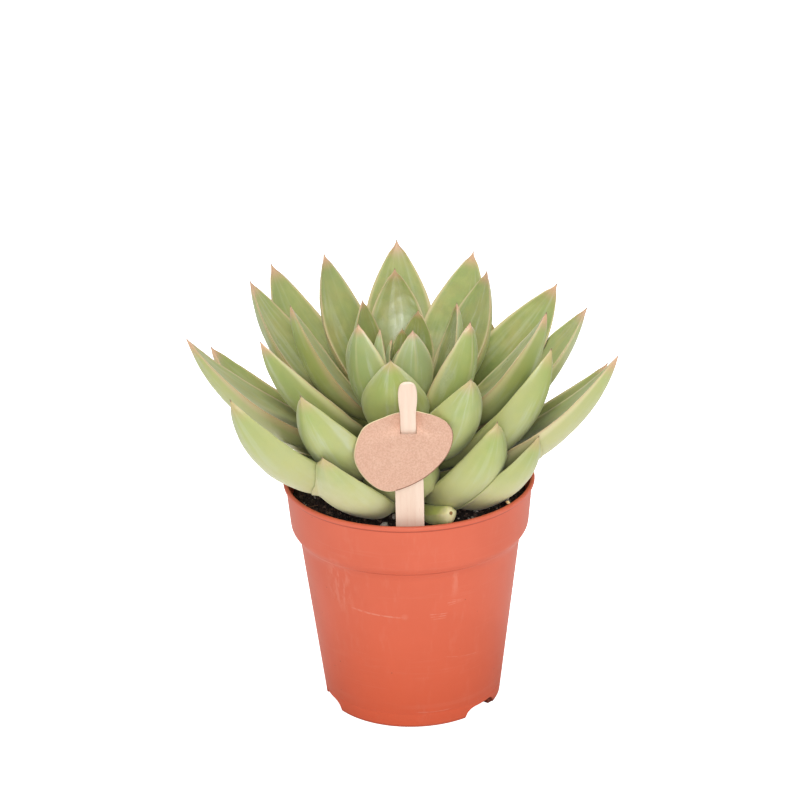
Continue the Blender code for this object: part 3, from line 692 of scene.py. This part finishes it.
# The low leaves whose margins carry hardly any pale line, and the old short one with a round end
SOFT_EDGED, SOFT_LINE = (10, 15, 18, 20, 23, 26, 28, 31, 36, 39, 41), 0.12
STUMP = 36
STUMP_SIZES = {
    "Rise": math.radians(20.0), "Bend": math.radians(4.0), "Length": 36.5 * MM, "Width": 9.0 * MM,
    "Depth": 5.2 * MM, "Foot height": 86.8 * MM, "Foot half width": 4.8 * MM, "Foot depth": 5.2 * MM}
# Two low leaves clasp the stem with their feet, and from the sixteenth on the feet are broad
CLASPING, CLASP = (28, 39), 4.0 * MM
BROAD_FOOT_FROM, FOOT_GAP = 15, 0.3 * MM


def swelling(along, peak, rise_power, fall_power, tip_power):
    """How full a leaf is along its length: 0 at the foot, 1 at the peak and 0 at the tip."""
    rising = (along.at_most(peak) * (0.5 * math.pi / peak)).sine().at_least(0.0) ** rise_power
    falling = (1.0 - ((along - peak) / (1.0 - peak)).at_least(0.0) ** fall_power).at_least(0.0)
    return rising * falling ** tip_power


LEAF, given, result = grower("Fleshy leaf", {
    "Azimuth": 0.0, "Rise": 1.0, "Bend": 0.5, "Length": 0.08, "Width": 0.03, "Depth": 0.008,
    "Foot radius": 0.01, "Foot height": 0.1, "Foot half width": 0.004, "Foot depth": 0.0036, "Roll": 0.0,
    "Blunt": 0.0, "Plump": 0.0, "Line": 1.0, "Age": 0.5, "Tone": 0.5})
grid = grow(LEAF, "MeshGrid", {
    "Size X": 1.0, "Size Y": 1.0, "Vertices X": LEAF_ROUND + 1, "Vertices Y": LEAF_ALONG + 2})
grid_x, grid_y, _ = parts_of(LEAF, grow(LEAF, "InputPosition", {}))
around = grid_x + 0.5
row = (grid_y + 0.5) * (LEAF_ALONG + 1.0)
foot_cap = 1.0 - row.above(0.5)
# Along the leaf, from 0 at the foot to 1 at the tip, with closer rows near the tip
along = 1.0 - (1.0 - ((row - 1.0) / LEAF_ALONG).at_least(0.0)).at_least(0.0) ** 1.5
# Across it, from one margin to the other over the top, and back below
across = (around * (2.0 * math.pi)).cosine() * -1.0
below = around.rise(0.4999, 0.5001)
outline = swelling(along, 0.54, 1.25, 2.0, 1.1)
belly = swelling(along, 0.42, 1.0, 2.2, 1.0)
nib = 1.0 - (0.5 - given["Blunt"] * 0.5) * along.rise(0.93, 0.985)
# A blunt leaf keeps its width and thickness nearly to a round end
stump = (1.0 - along ** 14.0).at_least(0.0) ** 0.5
outline = given["Blunt"].between(outline, stump)
belly = given["Blunt"].between(belly, stump)
half = given["Width"] * 0.5 * outline
half = (along / 0.4).at_most(1.0).between(given["Foot half width"], half).at_least(half) * nib
depth = given["Depth"] * belly
depth = (along / 0.3).at_most(1.0).between(given["Foot depth"], depth).at_least(depth)
hollow = given["Width"] * 0.045 * outline
edge = across.size().at_most(1.0)
keel = along.rise(0.35, 0.85) * 0.5
roundness = keel.between(0.8, 0.95) - given["Plump"] * 0.3
round_below = (1.0 - edge ** keel.between(2.3, 1.15)).at_least(0.0) ** roundness
drop_above = (1.0 - edge ** 2.0) * given["Blunt"].between(hollow, depth * -0.6)
drop = below.between(drop_above, (depth + hollow) * round_below)
# Small uneven waves, alike on both sides of the margin and gone at the tip, so that the blade closes there
turn_down = (around * (2.0 * math.pi)).sine()
wave = cloudy(LEAF, vector(LEAF, along * 5.0, across * 0.8, turn_down + given["Tone"] * 57.0), 1.0, 2.0) - 0.5
wave = wave * along.rise(0.05, 0.3) * (1.0 - along.rise(0.95, 0.999))
drop = (drop + wave * 0.0011) * (1.0 - foot_cap) + foot_cap * given["Foot depth"] * 0.5
sideways = half * across * (1.0 - foot_cap) + (given["Tone"] - 0.5) * along * along * 0.0012
roll = given["Roll"] * (along / 0.4).at_most(1.0)
sideways, drop = sideways * roll.cosine() + drop * roll.sine(), drop * roll.cosine() - sideways * roll.sine()
start = given["Rise"] - given["Bend"] * 0.5
lean = start + given["Bend"] * along
curl = given["Bend"] / given["Length"]
out = given["Foot radius"] + (lean.sine() - start.sine()) / curl + lean.sine() * drop
up = given["Foot height"] + (start.cosine() - lean.cosine()) / curl - lean.cosine() * drop
east, north = given["Azimuth"].cosine(), given["Azimuth"].sine()
position = vector(LEAF, east * out - north * sideways + PLANT_X, north * out + east * sideways + POT_Y, up)
blade = grid
kept = {"along": along, "across": across, "below": below}
kept.update({label.lower(): given[label] for label in ("Age", "Tone", "Line", "Blunt")})
for label, reading in kept.items():
    blade = grow(LEAF, "StoreNamedAttribute", {"Geometry": blade, "Name": label, "Value": reading})
blade = grow(LEAF, "SetPosition", {"Geometry": blade, "Position": position})
blade = grow(LEAF, "MergeByDistance", {"Geometry": blade, "Distance": SEAM_GAP})
end_grower(LEAF, grow(LEAF, "FlipFaces", {"Mesh": blade}), given["Material"], result)


def attribute(tree, name):
    """One of the values that a mesh carries at every point."""
    return read(tree, "ShaderNodeAttribute", {}, "Fac", attribute_name=name)


skin, tree, shader = finish_of(
    "waxy leaf skin", Subsurface_Weight=0.12, Subsurface_Scale=0.004, Subsurface_Radius=(0.8, 1.0, 0.35),
    Sheen_Weight=0.12, Sheen_Roughness=0.4)
along, across, below, age, lot, line, blunt = (attribute(tree, label) for label in kept)
edge = across.size()
_, _, facing_up = parts_of(tree, read(tree, "ShaderNodeTexCoord", {}, "Normal"))
bloom = mottled(tree, 62.0, 0.36, 0.66)
blush = mottled(tree, 95.0, 0.42, 0.72, (1, 1, 0.8))
dapple = mottled(tree, 260.0, 0.35, 0.7, (1, 1, 0.7))
pores = specked(tree, 1300.0, 0.3, 0.2)
blemish = specked(tree, 75.0, 0.045, 0.12)
scuff = streaked(tree, (1, 1, 1), 110.0, 0.62, 0.72, 0.25)
# Below: yellow-green, olive by the foot of the inner leaves, partly as painted shade there, and creamier
# where the leaf faces down, as painted light thrown up from the bright floor
floor_bounce_cream = (facing_up * -1.0).rise(-0.15, 0.85) * age.between(0.2, 0.95) * along.rise(0.05, 0.45)
under_tone = tinted(
    light(130, 136, 62), (age.rise(0.3, 0.75), 176, 188, 108), (along.rise(0.05, 0.6), 162, 180, 98),
    (bloom * 0.5, 152, 174, 108), (floor_bounce_cream, 216, 213, 164), (edge.rise(0.4, 1.0) * 0.3, 206, 196, 146))
# Above: olive green towards the foot, partly as painted shade deep in the rosette, fresher green further out
upper_tone = tinted(
    light(92, 100, 44), (along.rise(0.15, 0.9), 158, 168, 104),
    (bloom * 0.45, 136, 162, 98), (blush * 0.4, 174, 160, 98))
# Long soft streaks of pale wax, which also serve as painted highlights, with more painted highlight on the
# undersides of the inner leaves
wax_highlight_place = vector(tree, across * 1.7 + lot * 31.0, along * 1.1, below * 5.0 + lot * 17.0)
wax_and_highlight = cloudy(tree, wax_highlight_place, 2.2).rise(0.47, 0.7) * along.rise(0.35, 0.6) * (1.0 - age.rise(0.3, 0.75) * 0.6)
tone = tinted(
    dyed(below, upper_tone, under_tone),
    (wax_and_highlight * (0.32 + below * 0.16) + (1.0 - age.rise(0.05, 0.2)) * below * 0.35, 206, 213, 190),
    (dapple * 0.2, 196, 196, 116), (lot * 0.2, 178, 174, 104))
# The margins and the keel are pale, and the tip is pink with a dry point
margin = edge.rise(0.84, 0.965) * along.rise(0.1, 0.35) * line
ridge = (1.0 - edge.rise(0.0, 0.12)) * below * along.rise(0.4, 0.8) * line
margin_tone = dyed(lot, light(230, 224, 176), light(206, 184, 142))
tone = tinted(
    dyed((margin * 0.75 + ridge * 0.34).at_most(1.0), tone, margin_tone),
    (edge.rise(0.965, 0.998) * line * 0.5, 196, 158, 122),
    (along.rise(0.89, 0.98) * line.between(0.4, 0.85), 224, 172, 146),
    (along.rise(0.981, 0.993) * 0.85, 118, 80, 74))
# The short old leaf is yellow, with a healed brown end, its tones painted lighter than its own colour as
# painted light where the low leaves shade it
lit_stump_tone = tinted(
    light(236, 246, 136), (along.rise(0.8, 1.0), 250, 242, 186),
    (below * edge.rise(0.2, 0.9) * 0.5, 244, 242, 190), (along.rise(0.996, 0.999), 150, 104, 48))
tone = tinted(dyed(blunt, tone, lit_stump_tone), (pores * 0.1, 120, 124, 80), (blemish * 0.7, 120, 96, 62))
roughness = 0.3 + age * 0.1 + dapple * 0.08 + scuff * 0.2 - wax_and_highlight * 0.08
feed(tree, shader, {"Base Color": tone, "Roughness": roughness})
relief(tree, shader, cloudy(tree, place_of(tree), 900.0, 3.0) * 0.6 + pores * 0.4, 0.00005)


def leaf_rule(number):
    """How the leaves change from the innermost, 0, to the lowest, 41, as the tree's inputs."""
    turn, rise, longer, bend, wider = LEAF_OWN[number]
    lower, thicker = LEAF_FULLER.get(number, (0.0, 0.0))
    sizes = {
        "Azimuth": math.radians(FIRST_AZIMUTH - GOLDEN_ANGLE * number + turn),
        "Rise": math.radians(24.0 + 60.0 * math.exp(-number / 15.0) + rise),
        "Bend": math.radians(38.0 - 20.0 * math.exp(-number / 12.0) + 0.8 * max(0, number - 24) + bend),
        "Length": (38.0 + 52.0 * (1.0 - math.exp(-number / 9.0)) - 2.6 * max(0, number - 30) + longer) * MM,
        "Width": (31.5 - 17.0 * math.exp(-number / 7.0) + wider) * MM,
        "Depth": (10.0 - 6.2 * math.exp(-number / 8.0) + thicker) * MM,
        "Foot height": (126.0 - 26.0 * number / 41.0 - lower) * MM,
        "Foot half width": (4.4 - 1.6 * math.exp(-number / 5.0)) * MM,
        "Foot depth": (3.6 - 1.2 * math.exp(-number / 5.0)) * MM,
        "Roll": math.radians(LEAF_ROLL.get(number, 0)),
        "Age": number / 41.0,
    }
    if number >= BROAD_FOOT_FROM:
        sizes["Foot half width"] += 4.5 * MM
        sizes["Foot depth"] += 2.5 * MM
    if number == STUMP:
        sizes.update(STUMP_SIZES)
    return sizes


def leaf_from(name, sizes, number):
    """Grow one leaf against the stem."""
    start = sizes["Rise"] - sizes["Bend"] / 2
    slack = FOOT_GAP + max(0.0, -math.sin(start)) * sizes["Foot depth"] * 1.3
    foot_radius = crown_radius(sizes["Foot height"] / MM) * MM + slack
    return grown(name, LEAF, {
        **sizes, "Foot radius": foot_radius - (CLASP if number in CLASPING else 0.0),
        "Tone": (number * 0.618) % 1.0, "Line": SOFT_LINE if number in SOFT_EDGED else 1.0,
        "Blunt": 1.0 if number == STUMP else 0.0, "Plump": 1.0 if number in SOFT_EDGED else 0.0,
        "Material": skin})


leaves = [leaf_from(f"fleshy_leaf_{number + 1:02d}", leaf_rule(number), number) for number in range(42)]


# Bud
# The smallest leaves, still closed round the growing point in a tight cone at the middle of the rosette.
# They are the same flesh and skin as the leaves and come out of the top of the stem.
BUD_LEAVES = 7
PRESS_REACH, GAP_BELOW, GAP_ABOVE = 8.0 * MM, 0.6 * MM, 0.12 * MM
SLANT = Vector((0.31, 0.17, 0.93)).normalized()
bud_core = [(0.0, 129.0), (2.2, 129.3), (3.0, 133.0), (2.4, 139.0), (1.0, 144.0), (0.0, 145.5)]
leaflets = [keep("bud_core", turned(bud_core, 24), (PLANT_X, POT_Y, 0.0), 180.0)]
leaflets[0].data.materials.append(skin)
for number in range(BUD_LEAVES):
    leaflets.append(leaf_from(f"leaflet_{number + 1}", {
        "Azimuth": math.radians(FIRST_AZIMUTH + GOLDEN_ANGLE * (number + 1)),
        "Rise": math.radians(88.0 - 1.2 * number), "Bend": math.radians(14.0 + number),
        "Length": (24.0 + 1.6 * number) * MM, "Width": (8.5 + 0.5 * number) * MM,
        "Depth": (3.2 + 0.1 * number) * MM, "Foot height": 129.5 * MM,
        "Foot half width": 1.6 * MM, "Foot depth": 2.0 * MM, "Age": 0.0}, number))


def is_inside(tree, point):
    """Whether a point is inside a closed mesh, by counting the faces that a slanting ray meets."""
    count = 0
    while count < 12:
        point, _, _, _ = tree.ray_cast(point, SLANT)
        if point is None:
            break
        count += 1
        point = point + SLANT * 1e-6
    return count % 2 == 1


def push_of(point, whole, faced, gap):
    """The move that brings a point out of a closed mesh and clear of its lower side, or None outside it."""
    spot, normal, _, _ = whole.find_nearest(point, PRESS_REACH)
    if spot is None or (point - spot).dot(normal) > 0.0 or not is_inside(whole, point):
        return None
    spot, normal, _, _ = faced.find_nearest(point)
    return spot + normal * gap - point


def smoothed(moves, links):
    """The moves with five rings of softer ones round them, each the mean of its neighbours' moves."""
    near, still = dict(moves), Vector((0, 0, 0))
    for _ in range(5):
        ring = ({j for i in near for j in links[i]} | set(near)) - set(moves)
        near.update({i: sum((near.get(j, still) for j in links[i]), still) / len(links[i]) for i in ring})
    return near


def press(rosette):
    """Dent each leaf where the leaves inside it press on it, from the middle of the rosette outwards."""
    inner = []
    for leaf in rosette:
        mesh = leaf.data
        points = [vert.co.copy() for vert in mesh.vertices]
        flags = mesh.attributes.get("below")
        under = [flags.data[i].value > 0.5 for i in range(len(points))] if flags else [True] * len(points)
        links = [[] for _ in points]
        for a, b in (line.vertices for line in mesh.edges):
            links[a].append(b)
            links[b].append(a)
        for _ in range(2):
            moves = {}
            for whole, faced, low, high in inner:
                for i, point in enumerate(points):
                    if not all(low[k] < point[k] < high[k] for k in range(3)):
                        continue
                    move = push_of(point, whole, faced, GAP_BELOW if under[i] else GAP_ABOVE)
                    if move is not None and (i not in moves or move.length > moves[i].length):
                        moves[i] = move
            if not moves:
                break
            for i, move in smoothed(moves, links).items():
                points[i] += move
        for vert, point in zip(mesh.vertices, points):
            vert.co = point
        mesh.update()
        faces = [tuple(face.vertices) for face in mesh.polygons]
        lower = [face for face in faces if sum(under[i] for i in face) * 2 > len(face)]
        spread = [[point[k] for point in points] for k in range(3)]
        low, high = [min(part) for part in spread], [max(part) for part in spread]
        inner.append((BVHTree.FromPolygons(points, faces), BVHTree.FromPolygons(points, lower), low, high))


press(leaflets + leaves)
shape = bmesh.new()
for leaflet in leaflets:
    shape.from_mesh(leaflet.data)
bud = keep("closed_bud", shape, (0, 0, 0), 180.0)
bud.data.materials.append(skin)
for leaflet in leaflets:
    bpy.data.objects.remove(leaflet)
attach(bud, "root")
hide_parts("bud")
for number, leaf in enumerate(leaves):
    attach(leaf, "root")
    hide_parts(f"leaf_{number + 1:02d}")


# Label stick
# One flat blank of raw birch, 1.8 mm thick, stamped with a narrow neck and a round head and sanded. It is
# pushed into the soil just inside the rim, and leans out a little.
STICK_ROWS = (
    (0.0, 0.9, 0.0), (0.0, STICK_POINT, 0.5), (6.0, 5.0, 2.0), (9.5, STICK_HALF_WIDE, 2.0),
    (68.5, STICK_HALF_WIDE, 3.0), (75.0, 5.0, 2.5), (78.5, 3.15, 2.0), (99.5, 3.1, 2.5), (104.5, 3.75, 2.5),
    (109.2, 3.8, 2.0), (112.1, 3.1, 1.6), (113.1, 1.5, 1.0), (113.1, 0.4, 0.0),
)


def stick_rings():
    """Flat bars with rounded corners up the stick. Its rows are height, half width and rounding, in mm."""
    rings = []
    for along, half in eased(STICK_ROWS, 8):
        corner = min(0.35, half * 0.4)
        flat = [(x * half, y * STICK_HALF_THICK, corner) for x, y in ((-1, -1), (1, -1), (1, 1), (-1, 1))]
        rings.append([Vector((x, y, along)) * MM for x, y in eased(flat, 3)])
    return rings


stick = on_stick("birch_stick", loft(stick_rings()), 50.0)
birch, tree, shader = finish_of("raw birch")
veins = streaked(tree, (900, 400, 22), 1.0, 0.45, 0.75, 0.15)
bands = mottled(tree, 1.0, 0.3, 0.7, (260, 120, 9))
flecks = streaked(tree, (2200, 800, 160), 1.0, 0.58, 0.68, 0.3)
tone = tinted(
    light(243, 220, 200), (bands, 238, 211, 190),
    (veins * 0.25, 226, 188, 164), (flecks * 0.35, 210, 166, 138))
feed(tree, shader, {"Base Color": tone, "Roughness": 0.62 + bands * 0.15})
relief(tree, shader, veins * 0.6 + flecks * 0.4, 0.00008)
stick.data.materials.append(birch)
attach(stick, "root")
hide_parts("label_stick")


# Label card
# One die-cut piece of uncoated brown board, 1 mm thick, with a pale cut edge. The stick's neck is threaded
# through its slot, so the strip above the slot is bent back behind the stick. Both its faces are bare.
CARD_OUTLINE = (
    (2.3, 15.9), (10.9, 15.6), (17.3, 12.3), (19.6, 6.8), (16.4, -1.4), (7.3, -10.1),
    (-5.5, -15.0), (-14.1, -10.6), (-19.3, -0.5), (-15.5, 10.4), (-6.4, 14.6),
)
CARD_X, CARD_Z = -2.1, 131.7
SLOT_X, SLOT_UP, SLOT_HALF, SLOT_GAP = 2.1, 9.5, 3.25, 1.05
CARD_STEP, CARD_TILT, CARD_THICK = 2.3, math.tan(math.radians(8.0)), 1.0
CARD_SIDES = 180


def card_edge(part):
    """A point of the card's outline, on a closed smooth curve through its corners."""
    count, at = len(CARD_OUTLINE), part * len(CARD_OUTLINE)
    low, t = int(at) % count, at - math.floor(at)
    a, b, c, d = (Vector(CARD_OUTLINE[(low + i) % count]) for i in (-1, 0, 1, 2))
    bend = (2 * a - 5 * b + 4 * c - d) * t * t + (3 * b - a - 3 * c + d) * t ** 3
    return 0.5 * (2 * b + (c - a) * t + bend)


def card_depth(x, up):
    """How far the bent card is behind the stick's middle plane. Its sides swing forward above the slot."""
    aside = max(0.0, abs(x) - SLOT_HALF)
    step = CARD_STEP * math.tanh(up / (1.2 + 0.3 * aside))
    if up > 0:
        step /= 1.0 + (aside / (2.6 if x > 0 else 6.0)) ** 2
    return step + CARD_TILT * up


def card_point(x, up, side):
    """A point of the card, measured from the slot's middle; side goes from -1, the front, to 1, the back."""
    slope_x = (card_depth(x + 0.05, up) - card_depth(x - 0.05, up)) / 0.1
    slope_up = (card_depth(x, up + 0.05) - card_depth(x, up - 0.05)) / 0.1
    out = Vector((-slope_x, 1.0, -slope_up)).normalized() * (side * CARD_THICK / 2)
    along = (CARD_Z - STICK_LOW_Z) / math.cos(STICK_LEAN) + SLOT_UP
    return (Vector((CARD_X + SLOT_X + x, card_depth(x, up), along + up)) + out) * MM


outer = [card_edge(i / CARD_SIDES) - Vector((SLOT_X, SLOT_UP)) for i in range(CARD_SIDES)]
inner = []
for spot in outer:
    inner.append(spot * min(SLOT_HALF / max(abs(spot.x), 1e-9), SLOT_GAP / max(abs(spot.y), 1e-9)))
shares = (0.0, 0.015, 0.04, 0.08, 0.13, 0.19, 0.26, 0.35, 0.45, 0.56, 0.68, 0.8, 0.9, 0.97, 1.0)
rows = [(share, -1.0) for share in shares] + [(1.012, -0.6), (1.012, 0.6)]
rows += [(share, 1.0) for share in reversed(shares)]
rings = []
for share, side in rows:
    shift = Vector((-0.25 * side - 0.1, -0.06 * side)) * share
    ring = [a.lerp(b, share) + shift for a, b in zip(inner, outer)]
    rings.append([card_point(spot.x, spot.y, side) for spot in ring])
card = on_stick("board_card", loft(rings, closed=True), 45.0)
# The cut edge is marked pale all round, except along the lower right, which is marked for a dark painted
# shadow line where the card's edge throws shade
pale_and_shaded_edge = card.data.attributes.new("pale_and_shaded_edge", "FLOAT", "POINT")
for number, point in enumerate(pale_and_shaded_edge.data):
    share, side = rows[number // CARD_SIDES]
    spot = outer[number % CARD_SIDES] + Vector((SLOT_X, SLOT_UP))
    shaded = spot.x - 0.8 * spot.y > 8.0
    if share > 0.99 and (shaded or side > -0.99):
        point.value = -1.0 if shaded else 1.0
board, tree, shader = finish_of("brown board", Roughness=0.85)
face_mottle = mottled(tree, 260.0, 0.3, 0.7)
fibres = streaked(tree, (700, 300, 1500), 1.0, 0.5, 0.68, 0.5)
flecks = specked(tree, 1100.0, 0.3, 0.12)
grit = mottled(tree, 1500.0, 0.4, 0.62)
cut = attribute(tree, "pale_and_shaded_edge")
# The pale cut edge, and the dark painted shadow along the lower right edge
tone = tinted(
    light(224, 182, 158), (face_mottle * 0.5, 216, 170, 146), (fibres * 0.4, 234, 200, 178),
    (grit * 0.5, 200, 152, 128), (flecks * 0.4, 176, 130, 104),
    (cut.rise(0.2, 0.8), 232, 214, 172), ((cut * -1.0).rise(0.3, 0.9) * 0.85, 120, 76, 52))
feed(tree, shader, {"Base Color": tone})
relief(tree, shader, cloudy(tree, place_of(tree), 1800.0, 5.0) * 0.6 + fibres * 0.4, 0.00012)
card.data.materials.append(board)
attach(card, "root")
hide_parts("label_card")


# Floor
# A plain white studio floor, which isn't part of the plant. It shines by itself for the camera alone.
shape = bmesh.new()
bmesh.ops.create_grid(shape, x_segments=1, y_segments=1, size=6.0)
floor = keep("studio_floor", shape, (0, 0, -0.0002))
white, tree, shader = finish_of(
    "studio white", Roughness=0.9, Base_Color=(0.85, 0.85, 0.85, 1.0), Emission_Color=(1.0, 1.0, 1.0, 1.0))
feed(tree, shader, {"Emission Strength": read(tree, "ShaderNodeLightPath", {}, "Is Camera Ray")})
floor.data.materials.append(white)


# Light
# A white room, one soft box high in front, one overhead and a little behind, and a weak one at the right.
AIM = Vector((0, 0, 0.12))
scene = bpy.context.scene
scene.view_settings.view_transform = "Standard"
room = bpy.data.worlds.new("white room")
room.use_nodes = True
sky = room.node_tree.nodes["Background"]
seen = read(room.node_tree, "ShaderNodeLightPath", {}, "Is Camera Ray")
feed(room.node_tree, sky, {"Color": (1.0, 1.0, 1.0, 1.0), "Strength": seen.between(0.52, 1.0)})
scene.world = room


def soft_box(name, place, width, power):
    """A square area light that faces the plant."""
    lamp = bpy.data.lights.new(name, "AREA")
    lamp.size = width
    lamp.energy = power
    made = bpy.data.objects.new(name, lamp)
    made.location = place
    made.rotation_euler = (AIM - Vector(place)).to_track_quat("-Z", "Y").to_euler()
    scene.collection.objects.link(made)


soft_box("front_box", (0.0, -1.5, 0.8), 0.45, 10.8)
soft_box("top_box", (-0.1, 0.2, 1.4), 0.5, 10.5)
soft_box("side_box", (1.2, -0.5, 0.6), 0.6, 1.5)


# Camera
# Above the rim and square to the label, with a long lens, as the plant was seen.
DISTANCE, ELEVATION, ROLL = 1.3, math.radians(22.3), math.radians(-1.26)
TARGET = Vector((POT_X - 3.0 * MM, POT_Y, 132.8 * MM))
turn = Matrix.Rotation(math.pi / 2 - ELEVATION, 4, "X") @ Matrix.Rotation(ROLL, 4, "Z")
camera = bpy.data.objects.new("camera", bpy.data.cameras.new("camera"))
camera.data.lens = 141.75
camera.data.sensor_width = 36.0
camera.data.clip_start, camera.data.clip_end = 0.05, 50.0
camera.matrix_world = Matrix.Translation(TARGET) @ turn @ Matrix.Translation((0.0, 0.0, DISTANCE))
scene.collection.objects.link(camera)
scene.camera = camera
